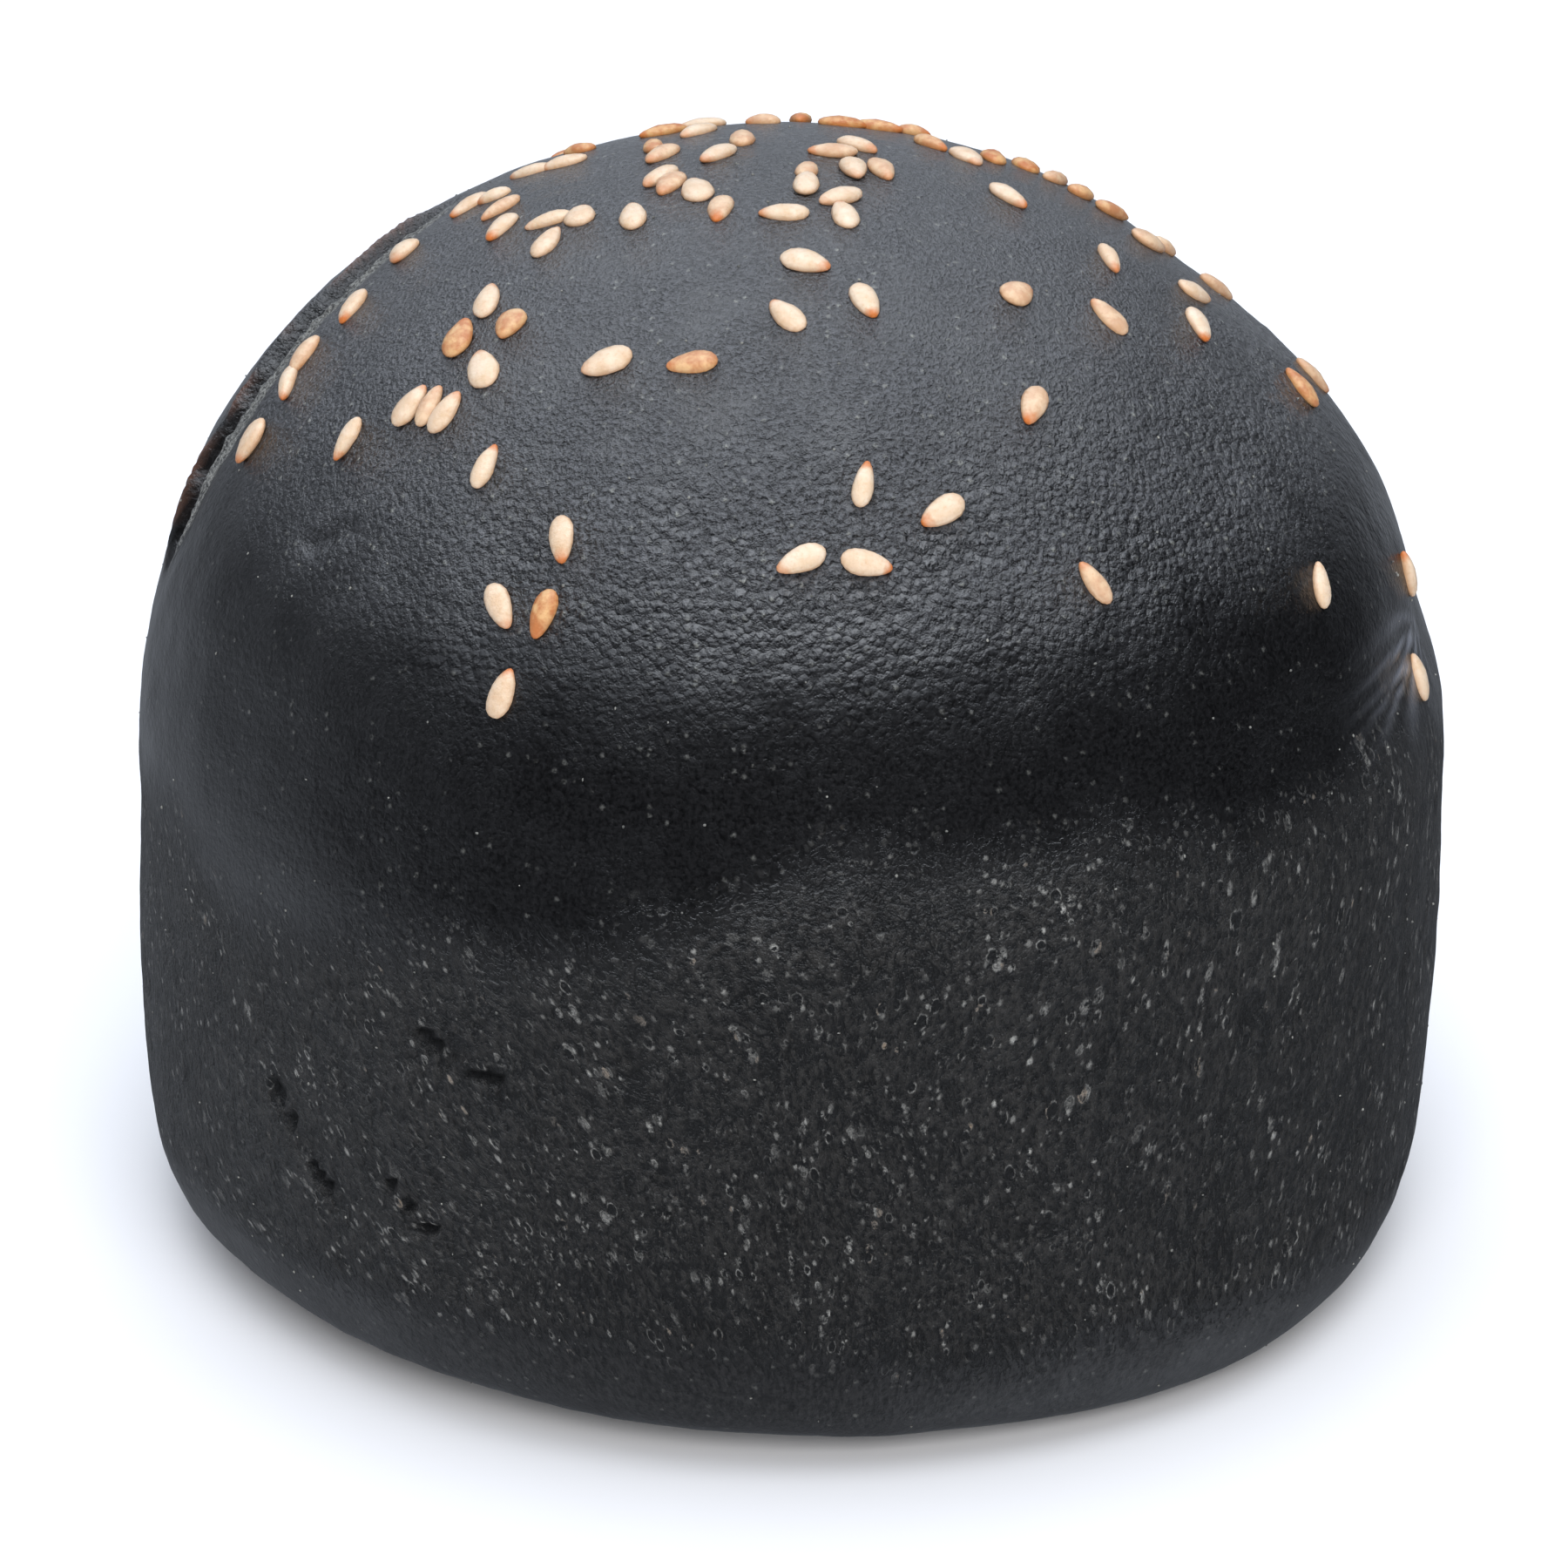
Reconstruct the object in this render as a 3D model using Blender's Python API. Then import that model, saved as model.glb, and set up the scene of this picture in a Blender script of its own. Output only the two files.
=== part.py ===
"""Black burger bun with sesame seeds, modelled as one closed body.

Metres, +Z up. The origin is the middle of the flat base. The bun's round form is
a distance from a core point inside it, for each bearing round the bun (0 degrees
is +X, 90 degrees is +Y) and each rise above or below the core's level.
"""

import math
import random

import bmesh
import bpy
from mathutils import Matrix, Vector

MM = 0.001

# Main sizes
WALL_RADIUS = 44.7 * MM
DOME_RADIUS = 44.7 * MM
BUN_HEIGHT = 75.0 * MM
CORE_HEIGHT = 33.0 * MM
BASE_TRIM = 0.35 * MM
DOME_POWER = 2.02
LOWER_EDGE_POWER = 9.6

# The crease that runs round the shoulder, where the dome swells over the wall
CREASE_RISE = 13.5
CREASE_RISE_FRONT_LIFT = 3.5
CREASE_SIDE_DEPTH = 0.25 * MM
CREASE_FRONT_DEPTH = 0.75 * MM
CREASE_DEEPEST_BEARING = 320
CREASE_SPREAD = 40
CREASE_WIDTH = 3.6
CREASE_SWELL_SHARE = 0.35
CREASE_SWELL_LIFT = 10
CREASE_SWELL_WIDTH = 6

# Soft swells and hollows of the crust: bearing, rise, half width round the bun,
# half width up the bun (all degrees), and height in millimetres
SWELLS = (
    (155, 40, 50, 17, 1.15),
    (30, 47, 34, 6, -0.95),
    (20, 36, 40, 13, -0.65),
    (180, -22, 34, 8, 0.55),
    (2, -33, 26, 8, -0.85),
    (315, -40, 20, 9, 1.1),
    (226, -38, 22, 8, -1.0),
    (178, -41, 22, 6, 0.6),
    (251, 43, 7, 6, 0.45),
    (279, 54, 9, 5, 0.4),
    (311, 46, 8, 6, 0.45),
    (240, 37, 4, 8, -0.45),
    (265, 57, 5, 4, -0.3),
    (213, 35, 10, 5, -0.5),
)

# The tear down the left side: bearing and rise along it, widest in the middle
TEAR_PATH = (
    (149, 54),
    (155, 51),
    (161, 48.5),
    (165, 46.5),
    (169, 44),
    (173, 41),
    (176, 38.5),
    (178.5, 36.5),
    (180, 34),
    (180.5, 31),
    (181, 28),
    (182, 25),
    (183, 21),
    (185, 17),
)
TEAR_WIDTH = 2.0 * MM
TEAR_SINK = 0.3 * MM
SLIT_PATH = ((182, 9), (182.5, 6.5), (182, 4))
SLIT_WIDTH = 1.1 * MM
PIT_PATH = ((213, 32), (215, 33.5), (217, 35))
PIT_WIDTH = 1.2 * MM

# The curled lip of crust on the far side of the tear
LIP_WIDTH = 2.4 * MM
LIP_OFFSET = 2.0 * MM
LIP_SINK = 0.65 * MM
LIP_FROM = 1
LIP_TO = 11

# Fineness of the mesh
BODY_SEGMENTS = 56
RING_RISES = (
    -68, -53, -47, -43, -40, -37, -33.5, -29, -23, -16, -9, -3, 3, 7, 10, 12.5, 15,
    17.5, 20, 23, 27, 31.5, 36, 41, 46, 51, 56, 61, 66, 71, 76, 81, 86,
)
SEED_SEGMENTS = 6
SEED_RINGS = 4
CUTTER_RESOLUTION = 1

# Sesame seeds: length and width in millimetres of each kind
SEED_KINDS = {
    "slim": (3.5, 1.5),
    "plain": (3.6, 1.9),
    "plump": (3.7, 2.3),
    "small": (2.6, 1.6),
    "round": (2.8, 2.3),
}
SEED_THICKNESS = 1.0 * MM
SEED_SINK = 0.12 * MM
SEED_TAPER = 0.42

# Seeds on the crown, left, right and front: bearing, rise, turn and kind.
# Turn is the way the pointed end lies: 0 downhill, 90 towards a larger bearing.
SEEDS_SEEN = (
    (288, 85.7, 158, "plain"),
    (320, 88.2, 120, "small"),
    (50, 84.2, 135, "plain"),
    (50, 80.6, -92, "plain"),
    (0, 84.4, -80, "plain"),
    (3, 81.8, -76, "plain"),
    (303, 82, -88, "plain"),
    (295, 78.8, 167, "plain"),
    (266, 79.8, -86, "plain"),
    (274, 71.9, 64, "plump"),
    (286, 66, 5, "plain"),
    (269, 64.6, 217, "plain"),
    (234, 79, 27, "plain"),
    (208, 80.3, -106, "plump"),
    (192, 78.7, 56, "plain"),
    (181, 78, 52, "plain"),
    (152, 76.5, 83, "plain"),
    (143, 74, -47, "small"),
    (148, 82, 84, "plain"),
    (117, 80, -27, "plain"),
    (121, 73, 109, "plain"),
    (124, 68.5, 70, "plain"),
    (113, 68.5, 70, "plain"),
    (98, 70.5, 80, "small"),
    (88, 67, 180, "small"),
    (76, 70.3, -80, "plain"),
    (67, 69, -80, "slim"),
    (60, 67, -70, "small"),
    (44, 72, -96, "slim"),
    (31, 71, -98, "plump"),
    (209, 73.6, -119, "plain"),
    (196, 70, -115, "round"),
    (192, 67.3, -8, "slim"),
    (202, 66, -140, "plain"),
    (185.5, 63.2, 52, "plain"),
    (175, 63, 40, "slim"),
    (166, 61.5, 20, "small"),
    (166, 59, 50, "plain"),
    (154, 63, 10, "slim"),
    (152, 66, 25, "plain"),
    (140, 64, 20, "small"),
    (175.5, 53.4, 60, "round"),
    (184.8, 48.3, 55, "plain"),
    (187, 42.6, 35, "plain"),
    (189.7, 40.3, 62, "slim"),
    (192, 34.7, 15, "plump"),
    (209, 41.2, 9, "slim"),
    (214.8, 46.5, 183, "plain"),
    (217.8, 47.3, 197, "slim"),
    (220.8, 47.4, 184, "plain"),
    (209, 58.2, 226, "plain"),
    (218, 57.4, 20, "round"),
    (212, 53.9, 217, "plump"),
    (221, 52.4, 235, "plump"),
    (239.5, 56.9, -46, "plump"),
    (231.2, 44.2, 185, "slim"),
    (253.5, 58.3, -70, "plain"),
    (244.4, 39.6, 21, "plain"),
    (239.6, 33, 41, "plain"),
    (244.7, 33.1, -6, "plain"),
    (242.5, 26, 172, "plain"),
    (278.7, 46.3, 164, "slim"),
    (287.5, 43.2, -65, "plain"),
    (271, 39.7, -66, "plain"),
    (278, 39.2, 74, "plain"),
    (302.3, 34.7, 201, "slim"),
    (305, 51.3, -47, "plain"),
    (319, 62.8, 95, "round"),
    (331.3, 56.5, 172, "plain"),
    (0.5, 70.1, -47, "plain"),
    (349.5, 59.9, -61, "slim"),
    (0, 50.8, 35, "plain"),
    (349, 50, -59, "plain"),
    (11.5, 54.8, 30, "plump"),
    (20, 57.3, 15, "slim"),
    (24, 59.8, 20, "small"),
    (29, 61.3, 30, "slim"),
    (34, 63.5, 70, "plain"),
    (35, 67, 60, "plain"),
    (17.5, 51.5, 20, "small"),
    (17, 44.8, 10, "slim"),
    (358.5, 37.8, 150, "plain"),
    (9.5, 34.5, 0, "plain"),
    (331, 26.8, 185, "slim"),
    (356.5, 17.6, 175, "plain"),
    (354, 8, 175, "plain"),
)

# Seeds on the side away from the viewer: drawn at random, thicker near the crown
FAR_SEED_COUNT = 40
FAR_SEED_DRAW = 27
FAR_SEED_SPACING = 4.6 * MM
FAR_SEED_LOWEST = 10
FAR_SEED_CROWDING = 62
VIEW_RISE = 24.7
FAR_SIDE_MARGIN = 0.12

# Finish of the crust
CRUST_COLOUR = (0.058, 0.057, 0.062, 1.0)
CRUST_ROUGHNESS = 0.55
CRUST_METALLIC = 0.0


def bell(offset, half_width):
    """A smooth hump of height 1, falling to both sides."""
    return math.exp(-0.5 * (offset / half_width) ** 2)


def bearing_gap(bearing, other):
    """Signed difference of two bearings, between -180 and 180 degrees."""
    return (bearing - other + 180) % 360 - 180


def crust_distance(bearing, rise):
    """Distance of the crust from the core point, in metres."""
    flat = max(math.cos(math.radians(rise)), 1e-9)
    tall = math.sin(math.radians(rise))
    if tall >= 0:
        dome_height = BUN_HEIGHT - CORE_HEIGHT
        reach = (flat / DOME_RADIUS) ** DOME_POWER + (tall / dome_height) ** DOME_POWER
        distance = reach ** (-1 / DOME_POWER)
    else:
        base_depth = CORE_HEIGHT + BASE_TRIM
        power = LOWER_EDGE_POWER
        reach = (flat / WALL_RADIUS) ** power + (-tall / base_depth) ** power
        distance = reach ** (-1 / power)
    for swell_bearing, swell_rise, round_width, up_width, height in SWELLS:
        across = bell(bearing_gap(bearing, swell_bearing), round_width)
        distance += height * MM * across * bell(rise - swell_rise, up_width)
    crease_rise = CREASE_RISE + CREASE_RISE_FRONT_LIFT * bell(bearing_gap(bearing, 270), 50)
    nearness = bell(bearing_gap(bearing, CREASE_DEEPEST_BEARING), CREASE_SPREAD)
    depth = CREASE_SIDE_DEPTH + CREASE_FRONT_DEPTH * nearness
    distance -= depth * bell(rise - crease_rise, CREASE_WIDTH)
    swell_rise = crease_rise + CREASE_SWELL_LIFT
    distance += depth * CREASE_SWELL_SHARE * bell(rise - swell_rise, CREASE_SWELL_WIDTH)
    return distance


def crust_point(bearing, rise):
    """The point of the crust at a bearing and a rise; the base is cut flat."""
    distance = crust_distance(bearing, rise)
    level = distance * math.cos(math.radians(rise))
    x = level * math.cos(math.radians(bearing))
    y = level * math.sin(math.radians(bearing))
    z = CORE_HEIGHT + distance * math.sin(math.radians(rise))
    return Vector((x, y, max(z, 0.0)))


def crust_axes(bearing, rise):
    """Unit vectors at a point of the crust: downhill, along the bearing, outward."""
    step = 0.3
    downhill = crust_point(bearing, rise - step) - crust_point(bearing, rise + step)
    along = crust_point(bearing + step, rise) - crust_point(bearing - step, rise)
    if along.length < 1e-7:
        angle = math.radians(bearing)
        along = Vector((-math.sin(angle), math.cos(angle), 0.0))
    downhill.normalize()
    along.normalize()
    outward = downhill.cross(along)
    outward.normalize()
    return downhill, along, outward


def link_mesh(name, mesh, collection):
    """Make an object of a mesh in a collection."""
    item = bpy.data.objects.new(name, mesh)
    collection.objects.link(item)
    return item


def make_body(collection):
    """The bun without its seeds: a sphere whose rings are moved onto the crust."""
    shape = bmesh.new()
    rings = len(RING_RISES) + 1
    bmesh.ops.create_uvsphere(shape, u_segments=BODY_SEGMENTS, v_segments=rings, radius=1.0)
    for vertex in shape.verts:
        place = vertex.co
        even_rise = math.degrees(math.asin(max(-1.0, min(1.0, place.z))))
        ring = round((even_rise + 90) / 180 * rings)
        if ring == 0:
            vertex.co = Vector((0.0, 0.0, 0.0))
        elif ring == rings:
            vertex.co = crust_point(0, 90)
        else:
            bearing = math.degrees(math.atan2(place.y, place.x))
            vertex.co = crust_point(bearing, RING_RISES[ring - 1])
    bmesh.ops.recalc_face_normals(shape, faces=shape.faces)
    mesh = bpy.data.meshes.new("bun")
    shape.to_mesh(mesh)
    shape.free()
    return link_mesh("bun", mesh, collection)


def make_strand(name, points, widths, collection):
    """A tapered round strand through points, as a closed mesh."""
    curve = bpy.data.curves.new(name, "CURVE")
    curve.dimensions = "3D"
    curve.bevel_depth = 1.0
    curve.bevel_resolution = CUTTER_RESOLUTION
    curve.use_fill_caps = True
    spline = curve.splines.new("POLY")
    spline.points.add(len(points) - 1)
    for index, point in enumerate(points):
        spline.points[index].co = (point.x, point.y, point.z, 1.0)
        spline.points[index].radius = widths[index] / 2
    drawn = link_mesh(name + "_curve", curve, collection)
    graph = bpy.context.evaluated_depsgraph_get()
    mesh = bpy.data.meshes.new_from_object(drawn.evaluated_get(graph))
    strand = link_mesh(name, mesh, collection)
    strand.matrix_world = drawn.matrix_world
    bpy.data.objects.remove(drawn)
    shape = bmesh.new()
    shape.from_mesh(mesh)
    bmesh.ops.remove_doubles(shape, verts=shape.verts, dist=0.00001)
    bmesh.ops.recalc_face_normals(shape, faces=shape.faces)
    shape.to_mesh(mesh)
    shape.free()
    return strand


def tapered_widths(count, widest):
    """Widths along a strand that is widest in the middle."""
    widths = []
    for index in range(count):
        share = (index + 0.6) / (count + 0.2)
        widths.append(widest * (0.3 + 0.7 * math.sin(math.pi * share)))
    return widths


def make_groove(name, path, widest, collection):
    """A strand that cuts a groove along a path on the crust."""
    points = []
    for bearing, rise in path:
        outward = crust_axes(bearing, rise)[2]
        points.append(crust_point(bearing, rise) - outward * TEAR_SINK)
    strand = make_strand(name, points, tapered_widths(len(points), widest), collection)
    strand.hide_render = True
    strand.display_type = "WIRE"
    return strand


def make_lip(collection):
    """The raised lip beyond the tear, which follows the tear's far edge."""
    points = []
    for index in range(LIP_FROM, LIP_TO + 1):
        here = crust_point(*TEAR_PATH[index])
        before = crust_point(*TEAR_PATH[index - 1])
        after = crust_point(*TEAR_PATH[index + 1])
        outward = crust_axes(*TEAR_PATH[index])[2]
        far_side = (after - before).cross(outward)
        far_side.normalize()
        points.append(here + far_side * LIP_OFFSET - outward * LIP_SINK)
    return make_strand("lip", points, tapered_widths(len(points), LIP_WIDTH), collection)


def on_far_side(bearing, rise):
    """Whether a place lies well behind the bun's outline as seen from the front."""
    view = math.radians(VIEW_RISE)
    away = math.sin(math.radians(bearing)) * math.cos(math.radians(rise)) * math.cos(view)
    up = math.sin(math.radians(rise)) * math.sin(view)
    return away - up > FAR_SIDE_MARGIN


def far_seeds():
    """Places for the seeds on the far side, kept apart from each other."""
    draw = random.Random(FAR_SEED_DRAW)
    taken = [crust_point(seed[0], seed[1]) for seed in SEEDS_SEEN]
    places = []
    kinds = ("plain", "plain", "plain", "slim", "plump", "small")
    while len(places) < FAR_SEED_COUNT:
        bearing = round(draw.uniform(0, 180))
        rise = round(math.degrees(math.asin(draw.uniform(0, 1))))
        luck = draw.random()
        turn = round(draw.uniform(-180, 180))
        kind = draw.choice(kinds)
        if rise < FAR_SEED_LOWEST or not on_far_side(bearing, rise):
            continue
        if luck > (rise / FAR_SEED_CROWDING) ** 2:
            continue
        point = crust_point(bearing, rise)
        if min((point - other).length for other in taken) < FAR_SEED_SPACING:
            continue
        taken.append(point)
        places.append((bearing, rise, turn, kind))
    return places


def make_seed(place, number, collection):
    """One flat tear-shaped seed, lying on the crust and sunk a little into it."""
    bearing, rise, turn, kind = place
    length, width = SEED_KINDS[kind]
    downhill, along, outward = crust_axes(bearing, rise)
    angle = math.radians(turn)
    forward = downhill * math.cos(angle) + along * math.sin(angle)
    sideways = outward.cross(forward)
    shape = bmesh.new()
    bmesh.ops.create_uvsphere(
        shape, u_segments=SEED_SEGMENTS, v_segments=SEED_RINGS, radius=1.0
    )
    bmesh.ops.rotate(shape, verts=shape.verts, matrix=Matrix.Rotation(math.pi / 2, 3, "Y"))
    centre = crust_point(bearing, rise) + outward * (SEED_THICKNESS / 2 - SEED_SINK * 3)
    for vertex in shape.verts:
        ahead, aside, above = vertex.co
        narrowing = 1 - SEED_TAPER * (ahead + 0.35)
        across = aside * width * MM / 2 * min(narrowing, 1.1)
        high = above * SEED_THICKNESS / 2 * min(narrowing + 0.2, 1.1)
        vertex.co = centre + forward * ahead * length * MM / 2 + sideways * across + outward * high
    bmesh.ops.recalc_face_normals(shape, faces=shape.faces)
    mesh = bpy.data.meshes.new("seed")
    shape.to_mesh(mesh)
    shape.free()
    return link_mesh("seed_" + str(number), mesh, collection)


def apply_boolean(body, name, operation, collection):
    """Cut or join a whole collection, and keep the result as the body's mesh."""
    modifier = body.modifiers.new(name, "BOOLEAN")
    modifier.operation = operation
    modifier.operand_type = "COLLECTION"
    modifier.collection = collection
    modifier.solver = "EXACT"
    graph = bpy.context.evaluated_depsgraph_get()
    result = bpy.data.meshes.new_from_object(body.evaluated_get(graph))
    body.modifiers.remove(modifier)
    body.data = result
    for item in list(collection.objects):
        bpy.data.objects.remove(item)


def crust_material():
    """Near-black baked crust."""
    material = bpy.data.materials.new("black_crust")
    material.use_nodes = True
    shader = material.node_tree.nodes["Principled BSDF"]
    shader.inputs["Base Color"].default_value = CRUST_COLOUR
    shader.inputs["Roughness"].default_value = CRUST_ROUGHNESS
    shader.inputs["Metallic"].default_value = CRUST_METALLIC
    return material


def build():
    """Make the bun."""
    for item in list(bpy.data.objects):
        bpy.data.objects.remove(item)
    collections = {}
    for name in ("black_bun", "cutters", "toppings"):
        collections[name] = bpy.data.collections.new(name)
        bpy.context.scene.collection.children.link(collections[name])
    body = make_body(collections["black_bun"])
    make_groove("tear", TEAR_PATH, TEAR_WIDTH, collections["cutters"])
    make_groove("slit", SLIT_PATH, SLIT_WIDTH, collections["cutters"])
    make_groove("pit", PIT_PATH, PIT_WIDTH, collections["cutters"])
    apply_boolean(body, "Grooves", "DIFFERENCE", collections["cutters"])
    make_lip(collections["toppings"])
    for number, place in enumerate(list(SEEDS_SEEN) + far_seeds()):
        make_seed(place, number, collections["toppings"])
    apply_boolean(body, "Seeds", "UNION", collections["toppings"])
    body.data.name = "bun"
    body.data.materials.clear()
    body.data.materials.append(crust_material())
    body.data.shade_smooth()
    body.data.set_sharp_from_angle(angle=math.radians(50))


build()
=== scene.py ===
import math
import random

import bpy
import numpy as np
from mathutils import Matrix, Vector, noise


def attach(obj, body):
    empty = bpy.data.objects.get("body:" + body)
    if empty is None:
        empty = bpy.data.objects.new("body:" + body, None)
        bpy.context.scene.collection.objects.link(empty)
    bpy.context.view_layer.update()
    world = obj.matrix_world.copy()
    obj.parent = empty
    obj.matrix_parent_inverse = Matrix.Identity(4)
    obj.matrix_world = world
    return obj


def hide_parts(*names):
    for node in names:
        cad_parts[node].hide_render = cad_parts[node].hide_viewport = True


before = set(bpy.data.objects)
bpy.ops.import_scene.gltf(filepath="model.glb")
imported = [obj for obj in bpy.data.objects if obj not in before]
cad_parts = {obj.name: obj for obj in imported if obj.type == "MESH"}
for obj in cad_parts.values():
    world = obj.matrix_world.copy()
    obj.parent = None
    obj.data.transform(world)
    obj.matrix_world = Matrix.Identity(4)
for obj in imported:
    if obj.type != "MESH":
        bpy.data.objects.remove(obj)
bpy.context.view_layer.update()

MM = 0.001

# ---------------------------------------------------------------- sizes, in millimetres
# The bun's round form, with the same sizes as its solid: a distance from a core point
# for each bearing round the bun (0 is +X, 90 is +Y) and each rise above the core.
WALL_RADIUS = 44.7
DOME_RADIUS = 44.7
BUN_HEIGHT = 75.0
CORE_HEIGHT = 33.0
BASE_TRIM = 0.35
DOME_POWER = 2.02
LOWER_EDGE_POWER = 9.6

CREASE_RISE = 13.5
CREASE_RISE_FRONT_LIFT = 3.5
CREASE_SIDE_DEPTH = 0.1
CREASE_FRONT_DEPTH = 0.5
CREASE_DEEPEST_BEARING = 345
CREASE_SPREAD = 30
CREASE_WIDTH = 3.6
CREASE_SWELL_SHARE = 0.35
CREASE_SWELL_LIFT = 10
CREASE_SWELL_WIDTH = 6

# Soft swells and hollows: bearing, rise, half width round, half width up, height
SWELLS = (
    (155, 40, 50, 17, 1.15),
    (30, 47, 34, 6, -0.7),
    (20, 36, 40, 13, -0.4),
    (180, -22, 34, 8, 0.55),
    (2, -33, 26, 8, -0.75),
    (317, -39, 20, 9, 1.35),
    (226, -38, 22, 8, -0.75),
    (178, -41, 22, 6, 0.6),
    (251, 43, 7, 6, 0.45),
    (279, 54, 9, 5, 0.4),
    (311, 46, 8, 6, 0.45),
    (240, 37, 4, 8, -0.45),
    (265, 57, 5, 4, -0.3),
    (213, 35, 10, 5, -0.5),
)

# The tear down the left side, the slit below it and the small pit, as bearing and rise
TEAR_PATH = (
    (149, 54), (155, 51), (161, 48.5), (165, 46.5), (169, 44), (173, 41), (176, 38.5),
    (178.5, 36.5), (180, 34), (180.5, 31), (181, 28), (182, 25), (183, 21), (185, 17),
)
SLIT_PATH = ((182, 9), (182.5, 6.5), (182, 4))
PIT_PATH = ((213, 32), (215, 33.5), (217, 35))
TEAR_SHIFT = 1.3
TEAR_UPPER_SHIFT = 1.1
TEAR_SINK = 0.35
TEAR_EDGE_LIFT = 0.15
CLEFT_DEPTH = 0.9
LIP_HEIGHT = 0.7
LIP_UNEVENNESS = 0.22
LIP_BACK_HEIGHT = 0.2
SLIT_HALF_WIDTH = 0.34
SLIT_DEPTH = 0.9
PIT_HALF_WIDTH = 0.55
PIT_DEPTH = 0.4
PIT_ROW_HALF_WIDTH = 0.45
PIT_ROW_DEPTH = 0.6
# The draw for the swirls in the wall's pattern
SWIRL_DRAW = 5
# Broken rows of deep pits low on the left of the wall
PIT_ROWS = (
    ((219.7, -14.3), (224, -18), (228.4, -22.5)),
    ((234.3, -18.3), (236.5, -20.8), (239.4, -22.1)),
    ((238, -4.1), (240.5, -6.3), (245, -6.8)),
)
# The pinch at the right end of the crease, as bearing and rise
PINCH_PLACE = (353, 14.6)

# Sesame seeds: length and width of each kind
SEED_KINDS = {
    "slim": (3.5, 1.5),
    "plain": (3.6, 1.9),
    "plump": (3.7, 2.3),
    "small": (2.6, 1.6),
    "round": (2.8, 2.3),
}
SEED_THICKNESS = 1.0
SEED_SINK = 0.12

# Seeds on the crown, left, right and front: bearing, rise, turn and kind.
# Turn is the way the pointed end lies: 0 downhill, 90 towards a larger bearing.
SEEDS_SEEN = (
    (288, 85.7, 158, "plain"),
    (320, 88.2, 120, "small"),
    (50, 84.2, 135, "plain"),
    (50, 80.6, -92, "plain"),
    (0, 84.4, -80, "plain"),
    (3, 81.8, -76, "plain"),
    (303, 82, -88, "plain"),
    (295, 78.8, 167, "plain"),
    (266, 79.8, -86, "plain"),
    (274, 71.9, 64, "plump"),
    (286, 66, 5, "plain"),
    (269, 64.6, 217, "plain"),
    (234, 79, 27, "plain"),
    (208, 80.3, -106, "plump"),
    (192, 78.7, 56, "plain"),
    (181, 78, 52, "plain"),
    (152, 76.5, 83, "plain"),
    (143, 74, -47, "small"),
    (148, 82, 84, "plain"),
    (117, 80, -27, "plain"),
    (121, 73, 109, "plain"),
    (124, 68.5, 70, "plain"),
    (113, 68.5, 70, "plain"),
    (98, 70.5, 80, "small"),
    (88, 67, 180, "small"),
    (76, 70.3, -80, "plain"),
    (67, 69, -80, "slim"),
    (60, 67, -70, "small"),
    (44, 72, -96, "slim"),
    (31, 71, -98, "plump"),
    (209, 73.6, -119, "plain"),
    (196, 70, -115, "round"),
    (192, 67.3, -8, "slim"),
    (202, 66, -140, "plain"),
    (185.5, 63.2, 52, "plain"),
    (175, 63, 40, "slim"),
    (166, 61.5, 20, "small"),
    (166, 59, 50, "plain"),
    (154, 63, 10, "slim"),
    (152, 66, 25, "plain"),
    (140, 64, 20, "small"),
    (175.5, 53.4, 60, "round"),
    (184.8, 48.3, 55, "plain"),
    (187, 42.6, 35, "plain"),
    (189.7, 40.3, 62, "slim"),
    (192, 34.7, 15, "plump"),
    (209, 41.2, 9, "slim"),
    (214.8, 46.5, 183, "plain"),
    (217.8, 47.3, 197, "slim"),
    (220.8, 47.4, 184, "plain"),
    (209, 58.2, 226, "plain"),
    (218, 57.4, 20, "round"),
    (212, 53.9, 217, "plump"),
    (221, 52.4, 235, "plump"),
    (239.5, 56.9, -46, "plump"),
    (231.2, 44.2, 185, "slim"),
    (253.5, 58.3, -70, "plain"),
    (244.4, 39.6, 21, "plain"),
    (239.6, 33, 41, "plain"),
    (244.7, 33.1, -6, "plain"),
    (242.5, 26, 172, "plain"),
    (278.7, 46.3, 164, "slim"),
    (287.5, 43.2, -65, "plain"),
    (271, 39.7, -66, "plain"),
    (278, 39.2, 74, "plain"),
    (302.3, 34.7, 201, "slim"),
    (305, 51.3, -47, "plain"),
    (319, 62.8, 95, "round"),
    (331.3, 56.5, 172, "plain"),
    (0.5, 70.1, -47, "plain"),
    (349.5, 59.9, -61, "slim"),
    (0, 50.8, 35, "plain"),
    (349, 50, -59, "plain"),
    (11.5, 54.8, 30, "plump"),
    (20, 57.3, 15, "slim"),
    (24, 59.8, 20, "small"),
    (29, 61.3, 30, "slim"),
    (34, 63.5, 70, "plain"),
    (35, 67, 60, "plain"),
    (17.5, 51.5, 20, "small"),
    (17, 44.8, 10, "slim"),
    (358.5, 37.8, 150, "plain"),
    (9.5, 34.5, 0, "plain"),
    (331, 26.8, 147, "slim"),
    (353, 19.5, 178, "slim"),
    (346.8, 12.1, 168, "plain"),
)
# How each of those seeds is toasted, by its place in the list
GOLDEN_SEEDS = (17, 21, 24, 25, 26, 27, 28, 40, 51, 52, 56, 59, 74, 75, 77, 78, 81)
TAN_SEEDS = (1, 2, 5, 12, 14, 16, 19, 23, 35, 43, 48, 65, 66, 67, 68, 73, 76, 79, 80, 82)
BROWN_TIPPED_SEEDS = (
    9, 10, 12, 31, 34, 37, 39, 42, 44, 46, 55, 57, 60, 61, 62, 64, 66, 69, 72, 84,
)
GREY_SEEDS = (83, 85)

# The draw for the seeds' sizes and tones
SEED_DRAW = 41

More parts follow.
